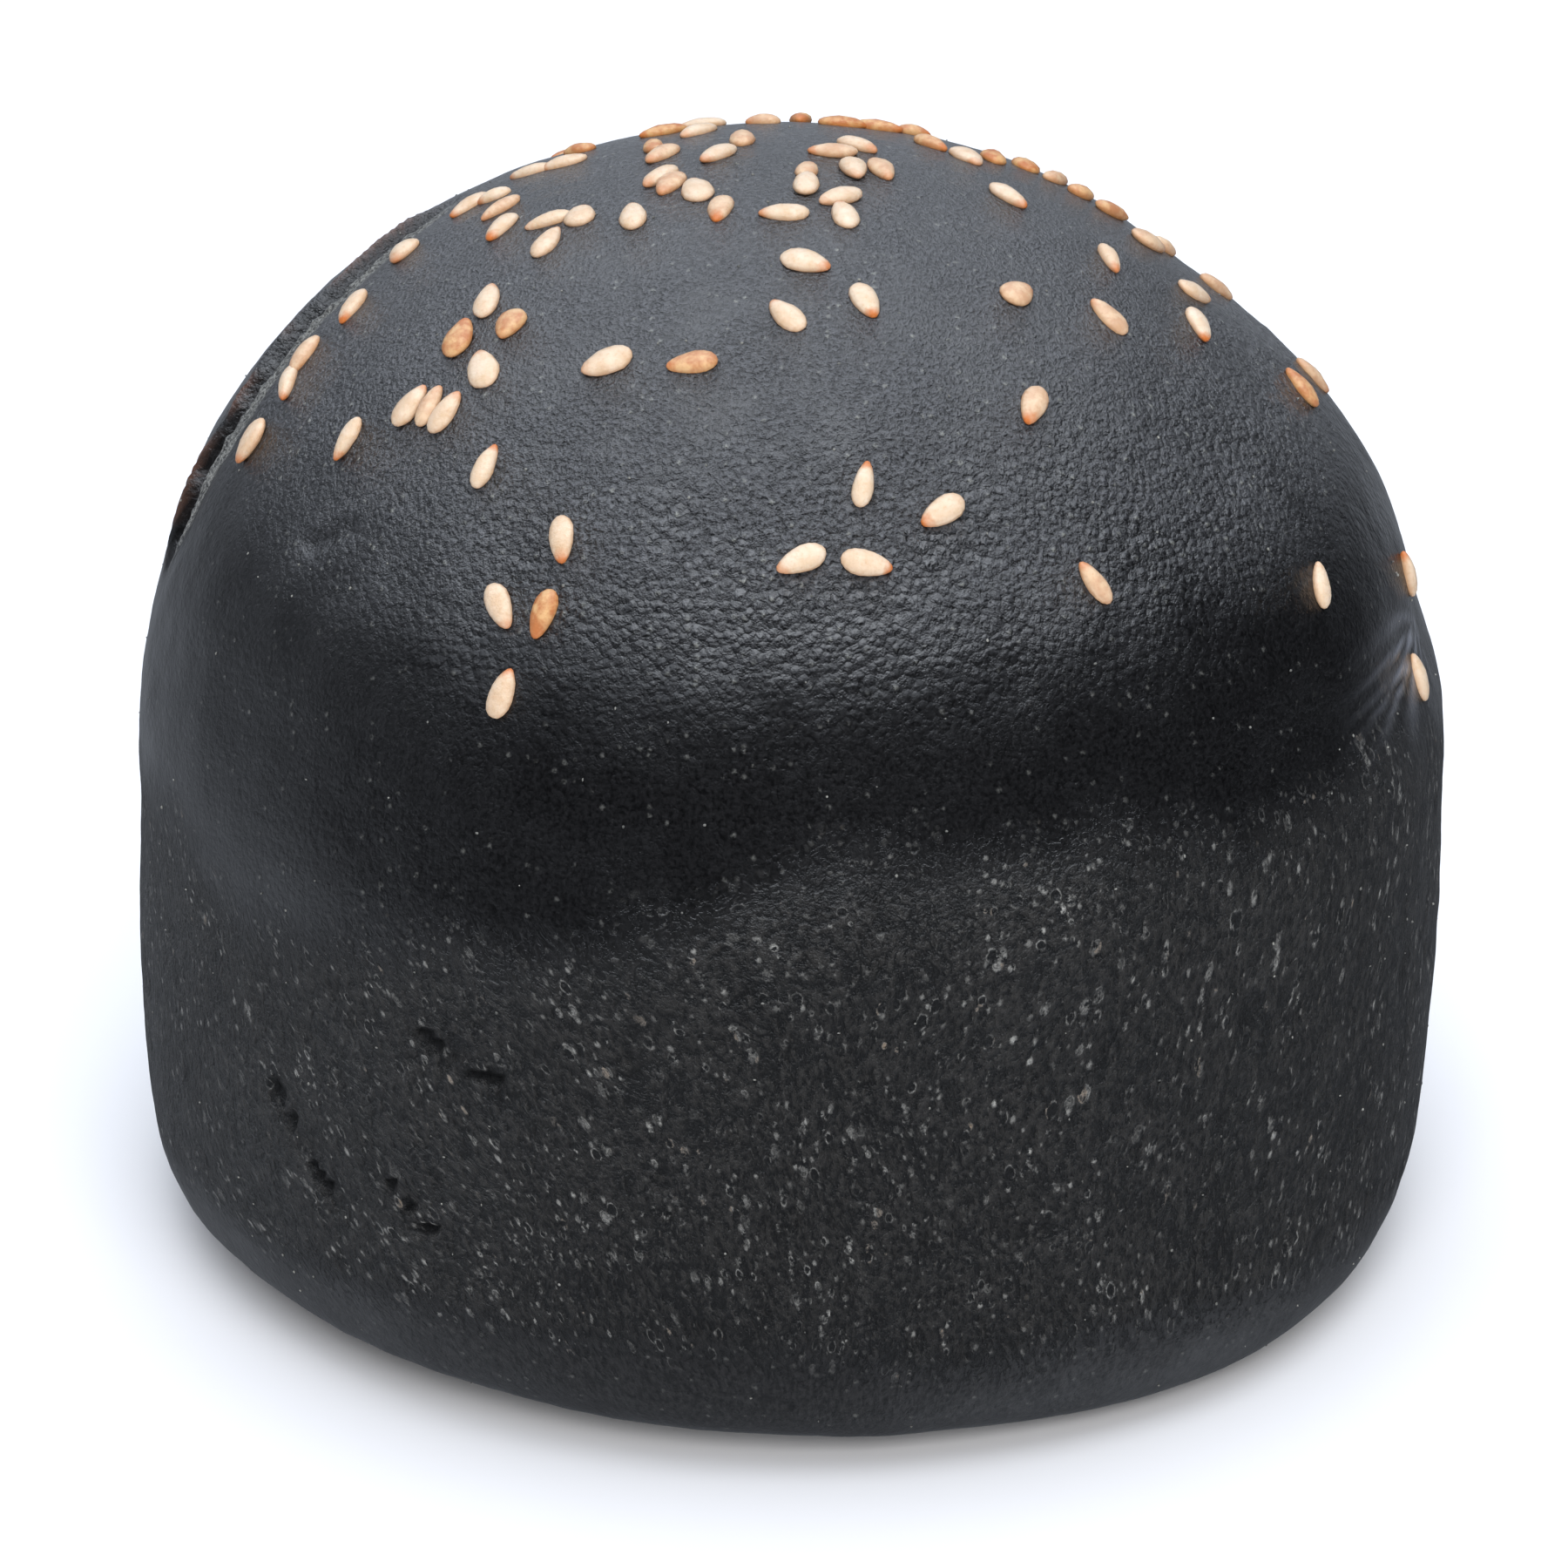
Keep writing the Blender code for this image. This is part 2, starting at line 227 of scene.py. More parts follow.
# Seeds on the side away from the viewer: drawn at random, thicker near the crown
FAR_SEED_COUNT = 40
FAR_SEED_DRAW = 27
FAR_SEED_SPACING = 4.6
FAR_SEED_LOWEST = 10
FAR_SEED_CROWDING = 62
VIEW_RISE = 24.7
FAR_SIDE_MARGIN = 0.12

# Where the porous wall begins, as bearing and rise, and how it leans
POROUS_TOP = (
    (0, 9), (60, 8), (120, 7), (180, 4), (205, 4), (225, 2), (243, 5), (258, 10),
    (272, 14.5), (300, 14), (330, 12), (360, 9),
)
WALL_LEAN = (
    (0, -5), (60, 6), (120, -6), (170, 4), (200, 16), (225, 26), (245, 28), (262, 14),
    (275, 0), (290, -5), (310, -12), (340, -10), (360, -5),
)

# Fineness of the crust's mesh, and how much closer it lies at the front, the tear and
# the shoulder
CRUST_BEARINGS = 420
CRUST_RINGS = 232
FRONT_FINENESS = 0.5
TEAR_FINENESS = 2.0
TEAR_BEARING = 169
SHOULDER_FINENESS = 0.5
SHOULDER_RISE = 36
BASE_COARSENESS = 0.12

# Dim glows round the bun: where each comes from, where it begins and is full, and power
SIDE_GLOWS = (
    ((0.0, 0.0, 1.0), -0.12, -0.60, 0.18),
    ((-0.86, 0.25, -0.45), 0.70, 1.0, 0.34),
    ((0.62, -0.08, -0.78), 0.80, 1.0, 0.42),
    ((0.0, 1.0, 0.0), 0.62, 0.98, 0.42),
)
FLOOR_HALF_WIDTH = 2.0
FLOOR_DROP = 0.05
LENS = 179.8
SENSOR_WIDTH = 36.0
CAMERA_PLACE = (0.0, -0.4906, 0.2555)


# ---------------------------------------------------------------- the bun's form
def bell(offset, half_width):
    """A smooth hump of height 1, falling to both sides."""
    return np.exp(-0.5 * (offset / half_width) ** 2)


def bearing_gap(bearing, other):
    """Signed difference of two bearings, between -180 and 180 degrees."""
    return (bearing - other + 180) % 360 - 180


def crust_distance(bearing, rise):
    """Distance of the crust from the core point."""
    flat = np.maximum(np.cos(np.radians(rise)), 1e-9)
    tall = np.sin(np.radians(rise))
    above = np.maximum(tall, 0.0)
    below = np.maximum(-tall, 0.0)
    dome = ((flat / DOME_RADIUS) ** DOME_POWER
            + (above / (BUN_HEIGHT - CORE_HEIGHT)) ** DOME_POWER) ** (-1 / DOME_POWER)
    tin = ((flat / WALL_RADIUS) ** LOWER_EDGE_POWER
           + (below / (CORE_HEIGHT + BASE_TRIM)) ** LOWER_EDGE_POWER) ** (-1 / LOWER_EDGE_POWER)
    distance = np.where(tall >= 0, dome, tin)
    for swell_bearing, swell_rise, round_width, up_width, height in SWELLS:
        across = bell(bearing_gap(bearing, swell_bearing), round_width)
        distance = distance + height * across * bell(rise - swell_rise, up_width)
    crease_rise = CREASE_RISE + CREASE_RISE_FRONT_LIFT * bell(bearing_gap(bearing, 270), 50)
    nearness = bell(bearing_gap(bearing, CREASE_DEEPEST_BEARING), CREASE_SPREAD)
    depth = CREASE_SIDE_DEPTH + CREASE_FRONT_DEPTH * nearness
    distance = distance - depth * bell(rise - crease_rise, CREASE_WIDTH)
    swell = bell(rise - crease_rise - CREASE_SWELL_LIFT, CREASE_SWELL_WIDTH)
    return distance + depth * CREASE_SWELL_SHARE * swell


def crust_points(bearing, rise):
    """Points of the crust at bearings and rises; the base is cut flat."""
    bearing = np.asarray(bearing, float)
    rise = np.asarray(rise, float)
    distance = crust_distance(bearing, rise)
    level = distance * np.cos(np.radians(rise))
    x = level * np.cos(np.radians(bearing))
    y = level * np.sin(np.radians(bearing))
    z = CORE_HEIGHT + distance * np.sin(np.radians(rise))
    return np.stack([x, y, np.maximum(z, 0.0)], -1)


def unit(vectors):
    """Vectors brought to length 1."""
    return vectors / np.maximum(np.linalg.norm(vectors, axis=-1, keepdims=True), 1e-12)


def crust_axes(bearing, rise):
    """Unit vectors on the crust: downhill, along the bearing, outward."""
    step = 0.3
    bearing = np.asarray(bearing, float)
    rise = np.asarray(rise, float)
    downhill = unit(crust_points(bearing, rise - step) - crust_points(bearing, rise + step))
    along = unit(crust_points(bearing + step, rise) - crust_points(bearing - step, rise))
    return downhill, along, unit(np.cross(downhill, along))


def by_bearing(table, bearing):
    """A value that changes smoothly round the bun."""
    places, values = zip(*table)
    return np.interp(np.asarray(bearing, float) % 360, places, values)


def smooth_step(value, low, high):
    """0 below low and 1 above high, with soft ends."""
    share = np.clip((value - low) / (high - low), 0, 1)
    return share * share * (3 - 2 * share)


def soft_noise(points, size, shift=0.0):
    """Smooth seeded noise, about -1 to 1, at points in millimetres."""
    return np.array([noise.noise(Vector((x / size + shift, y / size, z / size)))
                     for x, y, z in points])


# ---------------------------------------------------------------- crust mesh
def crust_bearings():
    """Bearings of the mesh, closer together at the front and at the tear."""
    fine = np.linspace(0, 360, 7201)
    front = smooth_step(-np.sin(np.radians(fine)), -0.35, 0.1)
    near_tear = bell(bearing_gap(fine, TEAR_BEARING), 12)
    weight = 1 + FRONT_FINENESS * front + TEAR_FINENESS * near_tear
    total = np.concatenate([[0], np.cumsum((weight[1:] + weight[:-1]) / 2)])
    steps = np.arange(CRUST_BEARINGS) / CRUST_BEARINGS * total[-1]
    return np.interp(steps, total, fine)


def crust_rises():
    """Rises of the mesh's rings, closer together at the shoulder and few on the base."""
    fine = np.linspace(-90, 90, 7201)
    line = crust_points(np.full_like(fine, 285.0), fine)
    lengths = np.linalg.norm(np.diff(line, axis=0), axis=1)
    middle = (line[1:] + line[:-1]) / 2
    weight = np.where(middle[:, 2] < 0.001, BASE_COARSENESS, 1.0)
    above_shoulder = (fine[1:] + fine[:-1]) / 2 - SHOULDER_RISE
    weight = weight * (1 + SHOULDER_FINENESS * bell(above_shoulder, 14))
    total = np.concatenate([[0], np.cumsum(lengths * weight)])
    steps = np.arange(1, CRUST_RINGS) / CRUST_RINGS * total[-1]
    return np.interp(steps, total, fine)


def across_path(points, path):
    """Signed distance across a path on the crust (plus on its far side), and share along it."""
    path = np.array(path, float)
    steps = np.linspace(0, len(path) - 1, 16 * len(path))
    bearing = np.interp(steps, np.arange(len(path)), path[:, 0])
    rise = np.interp(steps, np.arange(len(path)), path[:, 1])
    line = crust_points(bearing, rise)
    outward = crust_axes(bearing, rise)[2]
    tangent = unit(np.gradient(line, axis=0))
    far_side = unit(np.cross(tangent, outward))
    across = np.full(len(points), 99.0)
    along = np.zeros(len(points))
    middle = (line.max(0) + line.min(0)) / 2
    near = np.where(np.linalg.norm(points - middle, axis=1)
                    < np.linalg.norm(line.max(0) - line.min(0)) / 2 + 8)[0]
    for start in range(0, len(near), 4000):
        some = near[start:start + 4000]
        gaps = points[some][:, None, :] - line[None, :, :]
        nearest = np.argmin((gaps ** 2).sum(2), axis=1)
        gap = gaps[np.arange(len(some)), nearest]
        side = (gap * far_side[nearest]).sum(1)
        end_gap = (gap * tangent[nearest]).sum(1)
        across[some] = np.sign(side) * np.hypot(side, np.where(
            (nearest == 0) | (nearest == len(line) - 1), end_gap, 0))
        along[some] = nearest / (len(line) - 1)
    return across, along


def store(mesh, name, kind, values):
    """Keep a value at each vertex for the relief and the finish to read."""
    attribute = mesh.attributes.new(name, kind, "POINT")
    field = "vector" if kind == "FLOAT_VECTOR" else "value"
    attribute.data.foreach_set(field, np.ascontiguousarray(values, np.float32).ravel())


def pinch_fan(bearing, rise):
    """Fine creases that spread from the pinch at the right end of the crease; the finish paints
    them with a pale bluish highlight.
    """
    across = -bearing_gap(bearing, PINCH_PLACE[0]) * 0.26
    up = (rise - PINCH_PLACE[1]) * 0.76
    reach = np.hypot(across, up)
    turn = np.arctan2(up, np.maximum(across, 0.01))
    rays = 0.5 + 0.5 * np.sin(19 * turn + 2.4 * np.sin(4 * turn) + 1.1 * reach)
    return rays ** 2 * bell(reach - 1.7, 1.7) * smooth_step(across, -1.6, 0.4) * bell(turn, 0.9)


def crust_faces():
    """Faces of the mesh, ring by ring, with a fan of triangles on the base and the crown."""
    here = np.arange(CRUST_BEARINGS)
    beside = np.roll(here, -1)
    faces = []
    for ring in range(CRUST_RINGS - 2):
        low, high = ring * CRUST_BEARINGS, (ring + 1) * CRUST_BEARINGS
        faces += np.stack([low + here, low + beside, high + beside, high + here], 1).tolist()
    base = (CRUST_RINGS - 1) * CRUST_BEARINGS
    faces += [(base, int(after), int(first)) for first, after in zip(here, beside)]
    faces += [(base + 1, int(high + first), int(high + after))
              for first, after in zip(here, beside)]
    return faces


def make_crust_form():
    """The bun's crust before its fine relief, with the marks that the finish reads."""
    ring = np.append(np.repeat(np.arange(1, CRUST_RINGS), CRUST_BEARINGS), [0, CRUST_RINGS])
    turn = np.append(np.tile(np.arange(CRUST_BEARINGS), CRUST_RINGS - 1), [0, 0])
    count = len(ring)
    rises = np.concatenate([[-90], crust_rises(), [90]])
    bearing = crust_bearings()[turn]
    rise = rises[ring]
    points = crust_points(bearing, rise)
    points[ring == 0] = (0, 0, 0)
    points[ring == CRUST_RINGS] = crust_points(0, 90)
    outward = crust_axes(bearing, np.clip(rise, -89, 89.5))[2]
    outward[ring == 0] = (0, 0, -1)
    outward[ring == CRUST_RINGS] = (0, 0, 1)

    level = points[:, 2]
    roughly = soft_noise(points, 5.0)
    broadly = soft_noise(points, 13.0, 7.0)
    porous = smooth_step(by_bearing(POROUS_TOP, bearing) - rise + 3.5 * broadly + 2 * roughly,
                         -3.5, 7)
    foot_top = 6.5 + 2.5 * bell(bearing_gap(bearing, 250), 40) + 1.2 * broadly
    foot = 1 - smooth_step(level, foot_top - 2.0, foot_top + 2.0)
    low_dome = bell(rise - 40, 7) * (0.45 + 0.55 * smooth_step(
        np.cos(np.radians(bearing - 310)), -0.2, 0.9))
    bumpy = np.clip(low_dome + 0.35 * smooth_step(rise, 74, 86), 0, 1) * (1 - porous)

    # The tear: a torn band on the near side, a deep cleft, then a curled lip of crust
    across, along = across_path(points, TEAR_PATH)
    close = np.abs(across) < 10
    ragged = across + TEAR_SHIFT + TEAR_UPPER_SHIFT * (1 - smooth_step(along, 0.3, 0.6))
    ragged[close] += (0.28 * soft_noise(points[close], 1.3)
                      + 0.3 * soft_noise(points[close], 3.1, 3.0))
    fade = smooth_step(along, 0.0, 0.14) * (1 - smooth_step(along, 0.86, 1.0))
    breadth = 0.3 + 0.7 * np.sin(np.pi * np.clip(along, 0, 1)) ** 0.7
    past_band = smooth_step(ragged, -0.25, 0.1)
    torn = smooth_step(ragged / breadth, -3.3, -2.4) * (1 - past_band) * fade
    cleft = past_band * (1 - smooth_step(ragged, 0.8, 1.1)) * fade
    lip = bell(ragged - 1.35, 0.25) * fade
    uneven = np.zeros(count)
    uneven[close] = soft_noise(points[close], 2.0, 5.0)
    ramp = np.clip((ragged + 2.7) / 2.5, 0, 1) * (1 - past_band)
    sunken = smooth_step(ragged, -4.5, -1.5) * (1 - smooth_step(ragged, 2.5, 5.0))
    lift = (TEAR_EDGE_LIFT * ramp - TEAR_SINK * sunken - CLEFT_DEPTH * bell(ragged - 0.1, 0.32)
            + (LIP_HEIGHT + LIP_UNEVENNESS * uneven) * bell(ragged - 1.2, 0.5)
            + LIP_BACK_HEIGHT * bell(ragged - 2.3, 0.9)) * fade
    slit = bell(across_path(points, SLIT_PATH)[0], SLIT_HALF_WIDTH)
    pit = bell(across_path(points, PIT_PATH)[0], PIT_HALF_WIDTH)
    lift = lift - SLIT_DEPTH * slit - PIT_DEPTH * pit
    # The slit and the rows of pits join the cleft's mark, which the finish paints as shade
    cleft = np.maximum(cleft, slit)
    for row in PIT_ROWS:
        row_across = across_path(points, row)[0]
        close = np.abs(row_across) < 3
        broken = np.zeros(count)
        broken[close] = smooth_step(soft_noise(points[close], 0.9, 2.0), -0.15, 0.2)
        hollow = bell(row_across, PIT_ROW_HALF_WIDTH) * broken
        lift = lift - PIT_ROW_DEPTH * hollow
        cleft = np.maximum(cleft, hollow)
    points = points + outward * lift[:, None]

    # The place that the patterns read: sheared and swirled on the wall, and pressed
    # together upwards so that what they draw comes out taller than wide
    lean = np.tan(np.radians(by_bearing(WALL_LEAN, bearing))) * smooth_step(50 - level, 0, 14)
    along_x, along_y = -np.sin(np.radians(bearing)), np.cos(np.radians(bearing))
    noise.seed_set(SWIRL_DRAW)
    swirl = np.array([noise.noise_vector(Vector(p) / 13.0) for p in points])
    curl = np.array([noise.noise_vector(Vector(p) / 4.5 + Vector((9, 2, 4))) for p in points])
    grain = points + 1.2 * swirl + 0.2 * curl
    grain[:, 0] += along_x * (level - 30) * lean
    grain[:, 1] += along_y * (level - 30) * lean
    grain[:, 2] = 30 + (grain[:, 2] - 30) * (1 - 0.3 * smooth_step(
        np.cos(np.radians(bearing - 337)), 0.55, 0.97))
    grain[:, 2] = np.interp(grain[:, 2], (-10, 40, 52, 90), (-7.5, 30, 41, 79))

    mesh = bpy.data.meshes.new("bun_crust")
    mesh.from_pydata([tuple(point) for point in points * MM], [], crust_faces())
    store(mesh, "grain_place", "FLOAT_VECTOR", grain)
    marks = {
        "porous": porous * (1 - foot) * (1 - torn),
        "bumpy": bumpy,
        "foot": foot,
        "torn": np.clip(torn, 0, 1),
        "cleft": np.clip(cleft, 0, 1),
        "lip": np.clip(lip, 0, 1),
        "free": smooth_step(level, 0.05, 2.0),
        "fan": pinch_fan(bearing, rise),
        "patch": 0.5 + 0.34 * roughly + 0.2 * soft_noise(points, 2.3, 11.0),
        "sheen": smooth_step(rise, 26, 42) * (1 - porous),
    }
    for name, values in marks.items():
        store(mesh, name, "FLOAT", values)
    return mesh


# ---------------------------------------------------------------- node helpers
def feed(tree, socket, value):
    """Link a socket to a socket, or set its value."""
    if isinstance(value, bpy.types.NodeSocket):
        tree.links.new(value, socket)
    elif value is not None:
        socket.default_value = value


def maths(tree, operation, first, second=None, third=None, clamp=False):
    """One step of arithmetic."""
    node = tree.nodes.new("ShaderNodeMath")
    node.operation = operation
    node.use_clamp = clamp
    for index, value in enumerate((first, second, third)):
        feed(tree, node.inputs[index], value)
    return node.outputs[0]


def times(tree, first, second):
    """Two values multiplied."""
    return maths(tree, "MULTIPLY", first, second)


def vector_maths(tree, operation, first, second=None, scale=None):
    """One step of arithmetic on vectors."""
    node = tree.nodes.new("ShaderNodeVectorMath")
    node.operation = operation
    feed(tree, node.inputs[0], first)
    if second is not None:
        feed(tree, node.inputs[1], second)
    if operation == "SCALE":
        feed(tree, node.inputs["Scale"], scale)
    return node.outputs["Value"] if operation == "DOT_PRODUCT" else node.outputs["Vector"]


def spread(tree, value, low, high, to_low=0.0, to_high=1.0):
    """Carry a range of values onto another, held at its ends."""
    node = tree.nodes.new("ShaderNodeMapRange")
    node.clamp = True
    feed(tree, node.inputs["Value"], value)
    feed(tree, node.inputs["From Min"], low)
    feed(tree, node.inputs["From Max"], high)
    feed(tree, node.inputs["To Min"], to_low)
    feed(tree, node.inputs["To Max"], to_high)
    return node.outputs[0]


def grain_noise(tree, place, size, detail=2.0, rough=0.5, distortion=0.0):
    """Soft noise whose humps are about as wide as size, 0 to 1."""
    node = tree.nodes.new("ShaderNodeTexNoise")
    feed(tree, node.inputs["Vector"], place)
    feed(tree, node.inputs["Scale"], size if isinstance(size, bpy.types.NodeSocket) else 1 / size)
    feed(tree, node.inputs["Detail"], detail)
    feed(tree, node.inputs["Roughness"], rough)
    feed(tree, node.inputs["Distortion"], distortion)
    return node.outputs[0]


def cells(tree, place, size):
    """Distance from the middles of scattered cells, and a random colour for each cell."""
    node = tree.nodes.new("ShaderNodeTexVoronoi")
    feed(tree, node.inputs["Vector"], place)
    feed(tree, node.inputs["Scale"], size if isinstance(size, bpy.types.NodeSocket) else 1 / size)
    return node.outputs["Distance"], node.outputs["Color"]


def part_of(tree, colour, axis):
    """One channel of a random colour."""
    return vector_maths(tree, "DOT_PRODUCT", colour, axis)


def specks(tree, place, size, share, smallest, largest, soft):
    """Round marks in some cells: share of the cells, and radii as shares of a cell."""
    distance, colour = cells(tree, place, size)
    luck = part_of(tree, colour, (1, 0, 0))
    radius = spread(tree, part_of(tree, colour, (0, 1, 0)), 0, 1, smallest, largest)
    chosen = maths(tree, "LESS_THAN", luck, share)
    inside = maths(tree, "DIVIDE", maths(tree, "SUBTRACT", radius, distance), soft, clamp=True)
    return times(tree, inside, chosen), colour, distance


def mix_colour(tree, factor, first, second):
    """Blend two colours."""
    node = tree.nodes.new("ShaderNodeMix")
    node.data_type = "RGBA"
    feed(tree, node.inputs[0], factor)
    feed(tree, node.inputs[6], first)
    feed(tree, node.inputs[7], second)
    return node.outputs[2]


def mix_vector(tree, factor, first, second):
    """Blend two places."""
    node = tree.nodes.new("ShaderNodeMix")
    node.data_type = "VECTOR"
    feed(tree, node.inputs[0], factor)
    feed(tree, node.inputs[4], first)
    feed(tree, node.inputs[5], second)
    return node.outputs[1]


def millimetre_place(tree):
    """The place on the piece itself, in millimetres."""
    place = tree.nodes.new("ShaderNodeTexCoord").outputs["Object"]
    return vector_maths(tree, "SCALE", place, scale=1 / MM)


def shade(red, green, blue):
    """A colour with full opacity."""
    return (red, green, blue, 1.0)


# Near black: the darkest tone of the foot, and the painted shade in pits, folds and the tear's
# cleft
BLACK_AND_PAINTED_SHADE = shade(0.003, 0.003, 0.003)


# ---------------------------------------------------------------- tree helpers
def new_tree(name, takes, gives, sizes, counts):
    """A node tree with named inputs for what it takes, its sizes, counts and finish."""
    tree = bpy.data.node_groups.new(name, "GeometryNodeTree")
    face = tree.interface
    face.new_socket(takes, in_out="INPUT", socket_type="NodeSocketGeometry")
    for labels, kind in ((sizes, "Float"), (counts, "Int"), (("Finish",), "Material")):
        for label in labels:
            face.new_socket(label, in_out="INPUT", socket_type="NodeSocket" + kind)
    face.new_socket(gives, in_out="OUTPUT", socket_type="NodeSocketGeometry")
    given = tree.nodes.new("NodeGroupInput").outputs
    return tree, given, tree.nodes.new("NodeGroupOutput")


def marked(tree, name, kind="FLOAT"):
    """A value that each point of the mesh carries."""
    node = tree.nodes.new("GeometryNodeInputNamedAttribute")
    node.data_type = kind
    node.inputs["Name"].default_value = name
    return node.outputs["Attribute"]


def realized(tree, geometry):
    """Copies made into real faces."""
    real = tree.nodes.new("GeometryNodeRealizeInstances")
    feed(tree, real.inputs["Geometry"], geometry)
    return real.outputs["Geometry"]


def hand_out(tree, given, result, geometry):
    """Give the geometry its finish and hand it out."""
    coated = tree.nodes.new("GeometryNodeSetMaterial")
    feed(tree, coated.inputs["Geometry"], geometry)
    feed(tree, coated.inputs["Material"], given["Finish"])
    feed(tree, result.inputs[0], coated.outputs["Geometry"])
    return tree


# ---------------------------------------------------------------- crust relief
def crust_relief_tree():
    """Lumps, blisters, pits and torn crumb, raised or sunk along the crust's normal."""
    tree, given, result = new_tree(
        "crust_relief", "Geometry", "Geometry",
        ("Lump size", "Lump height", "Ripple size", "Ripple height", "Blister size",
         "Blister height", "Pit size", "Pit depth", "Torn size", "Torn height"),
        ("Pattern seed",))
    grain = marked(tree, "grain_place", "FLOAT_VECTOR")
    away = vector_maths(tree, "SCALE", (1, 1, 1), scale=given["Pattern seed"])
    grain = vector_maths(tree, "ADD", grain, away)
    smooth_place = vector_maths(
        tree, "SCALE", tree.nodes.new("GeometryNodeInputPosition").outputs[0], scale=1 / MM)

    def per(name):
        return maths(tree, "DIVIDE", 1.0, given[name])

    lumps = maths(tree, "SUBTRACT", grain_noise(tree, smooth_place, per("Lump size"), 1.0), 0.5)
    height = times(tree, lumps, given["Lump height"])
    ripples = maths(
        tree, "SUBTRACT", grain_noise(tree, smooth_place, per("Ripple size"), 2.0, 0.55), 0.5)
    height = maths(tree, "MULTIPLY_ADD", ripples, given["Ripple height"], height)
    blister = maths(tree, "SUBTRACT", 0.5, cells(tree, smooth_place, per("Blister size"))[0])
    blister = times(tree, blister, marked(tree, "bumpy"))
    height = maths(tree, "MULTIPLY_ADD", blister, given["Blister height"], height)
    distance, colour = cells(tree, grain, per("Pit size"))
    chosen = maths(tree, "LESS_THAN", part_of(tree, colour, (1, 0, 0)), 0.4)
    pit = maths(tree, "SUBTRACT", 0.42, distance, clamp=True)
    pit = times(tree, times(tree, pit, chosen), marked(tree, "porous"))
    height = maths(tree, "SUBTRACT", height, times(tree, pit, given["Pit depth"]))
    crumb = maths(
        tree, "SUBTRACT", grain_noise(tree, smooth_place, per("Torn size"), 3.0, 0.6), 0.5)
    crumb = times(tree, crumb, marked(tree, "torn"))
    height = maths(tree, "MULTIPLY_ADD", crumb, given["Torn height"], height)
    height = times(tree, times(tree, height, marked(tree, "free")), MM)
    offset = vector_maths(
        tree, "SCALE", tree.nodes.new("GeometryNodeInputNormal").outputs[0], scale=height)
    moved = tree.nodes.new("GeometryNodeSetPosition")
    feed(tree, moved.inputs["Geometry"], given["Geometry"])
    feed(tree, moved.inputs["Offset"], offset)
    return hand_out(tree, given, result, realized(tree, moved.outputs["Geometry"]))


def grow(name, mesh, tree, values):
    """Run a tree on a mesh with its inputs set, and keep the result as a plain piece."""
    start = bpy.data.objects.new(name + "_start", mesh)
    bpy.context.scene.collection.objects.link(start)
    modifier = start.modifiers.new(tree.name, "NODES")
    modifier.node_group = tree
    for item in tree.interface.items_tree:
        if item.item_type == "SOCKET" and item.in_out == "INPUT" and item.name in values:
            modifier[item.identifier] = values[item.name]
    graph = bpy.context.evaluated_depsgraph_get()
    result = bpy.data.meshes.new_from_object(start.evaluated_get(graph))
    start.modifiers.remove(modifier)
    bpy.data.objects.remove(start)
    result.name = name
    piece = bpy.data.objects.new(name, result)
    bpy.context.scene.collection.objects.link(piece)
    result.shade_smooth()
    return piece


# ---------------------------------------------------------------- finishes
def new_finish(name):
    """A material with its shader."""
    material = bpy.data.materials.new(name)
    material.use_nodes = True
    return material, material.node_tree, material.node_tree.nodes["Principled BSDF"]


def attribute_of(tree, name, vector=False):
    """A mark that the mesh carries."""
    node = tree.nodes.new("ShaderNodeAttribute")
    node.attribute_name = name
    return node.outputs["Vector"] if vector else node.outputs["Fac"]


def add_relief(tree, shader, height, distance, strength=1.0):
    """Fine relief in the shading, from a height."""
    bump = tree.nodes.new("ShaderNodeBump")
    bump.inputs["Strength"].default_value = strength
    bump.inputs["Distance"].default_value = distance
    feed(tree, bump.inputs["Height"], height)
    feed(tree, shader.inputs["Normal"], bump.outputs["Normal"])


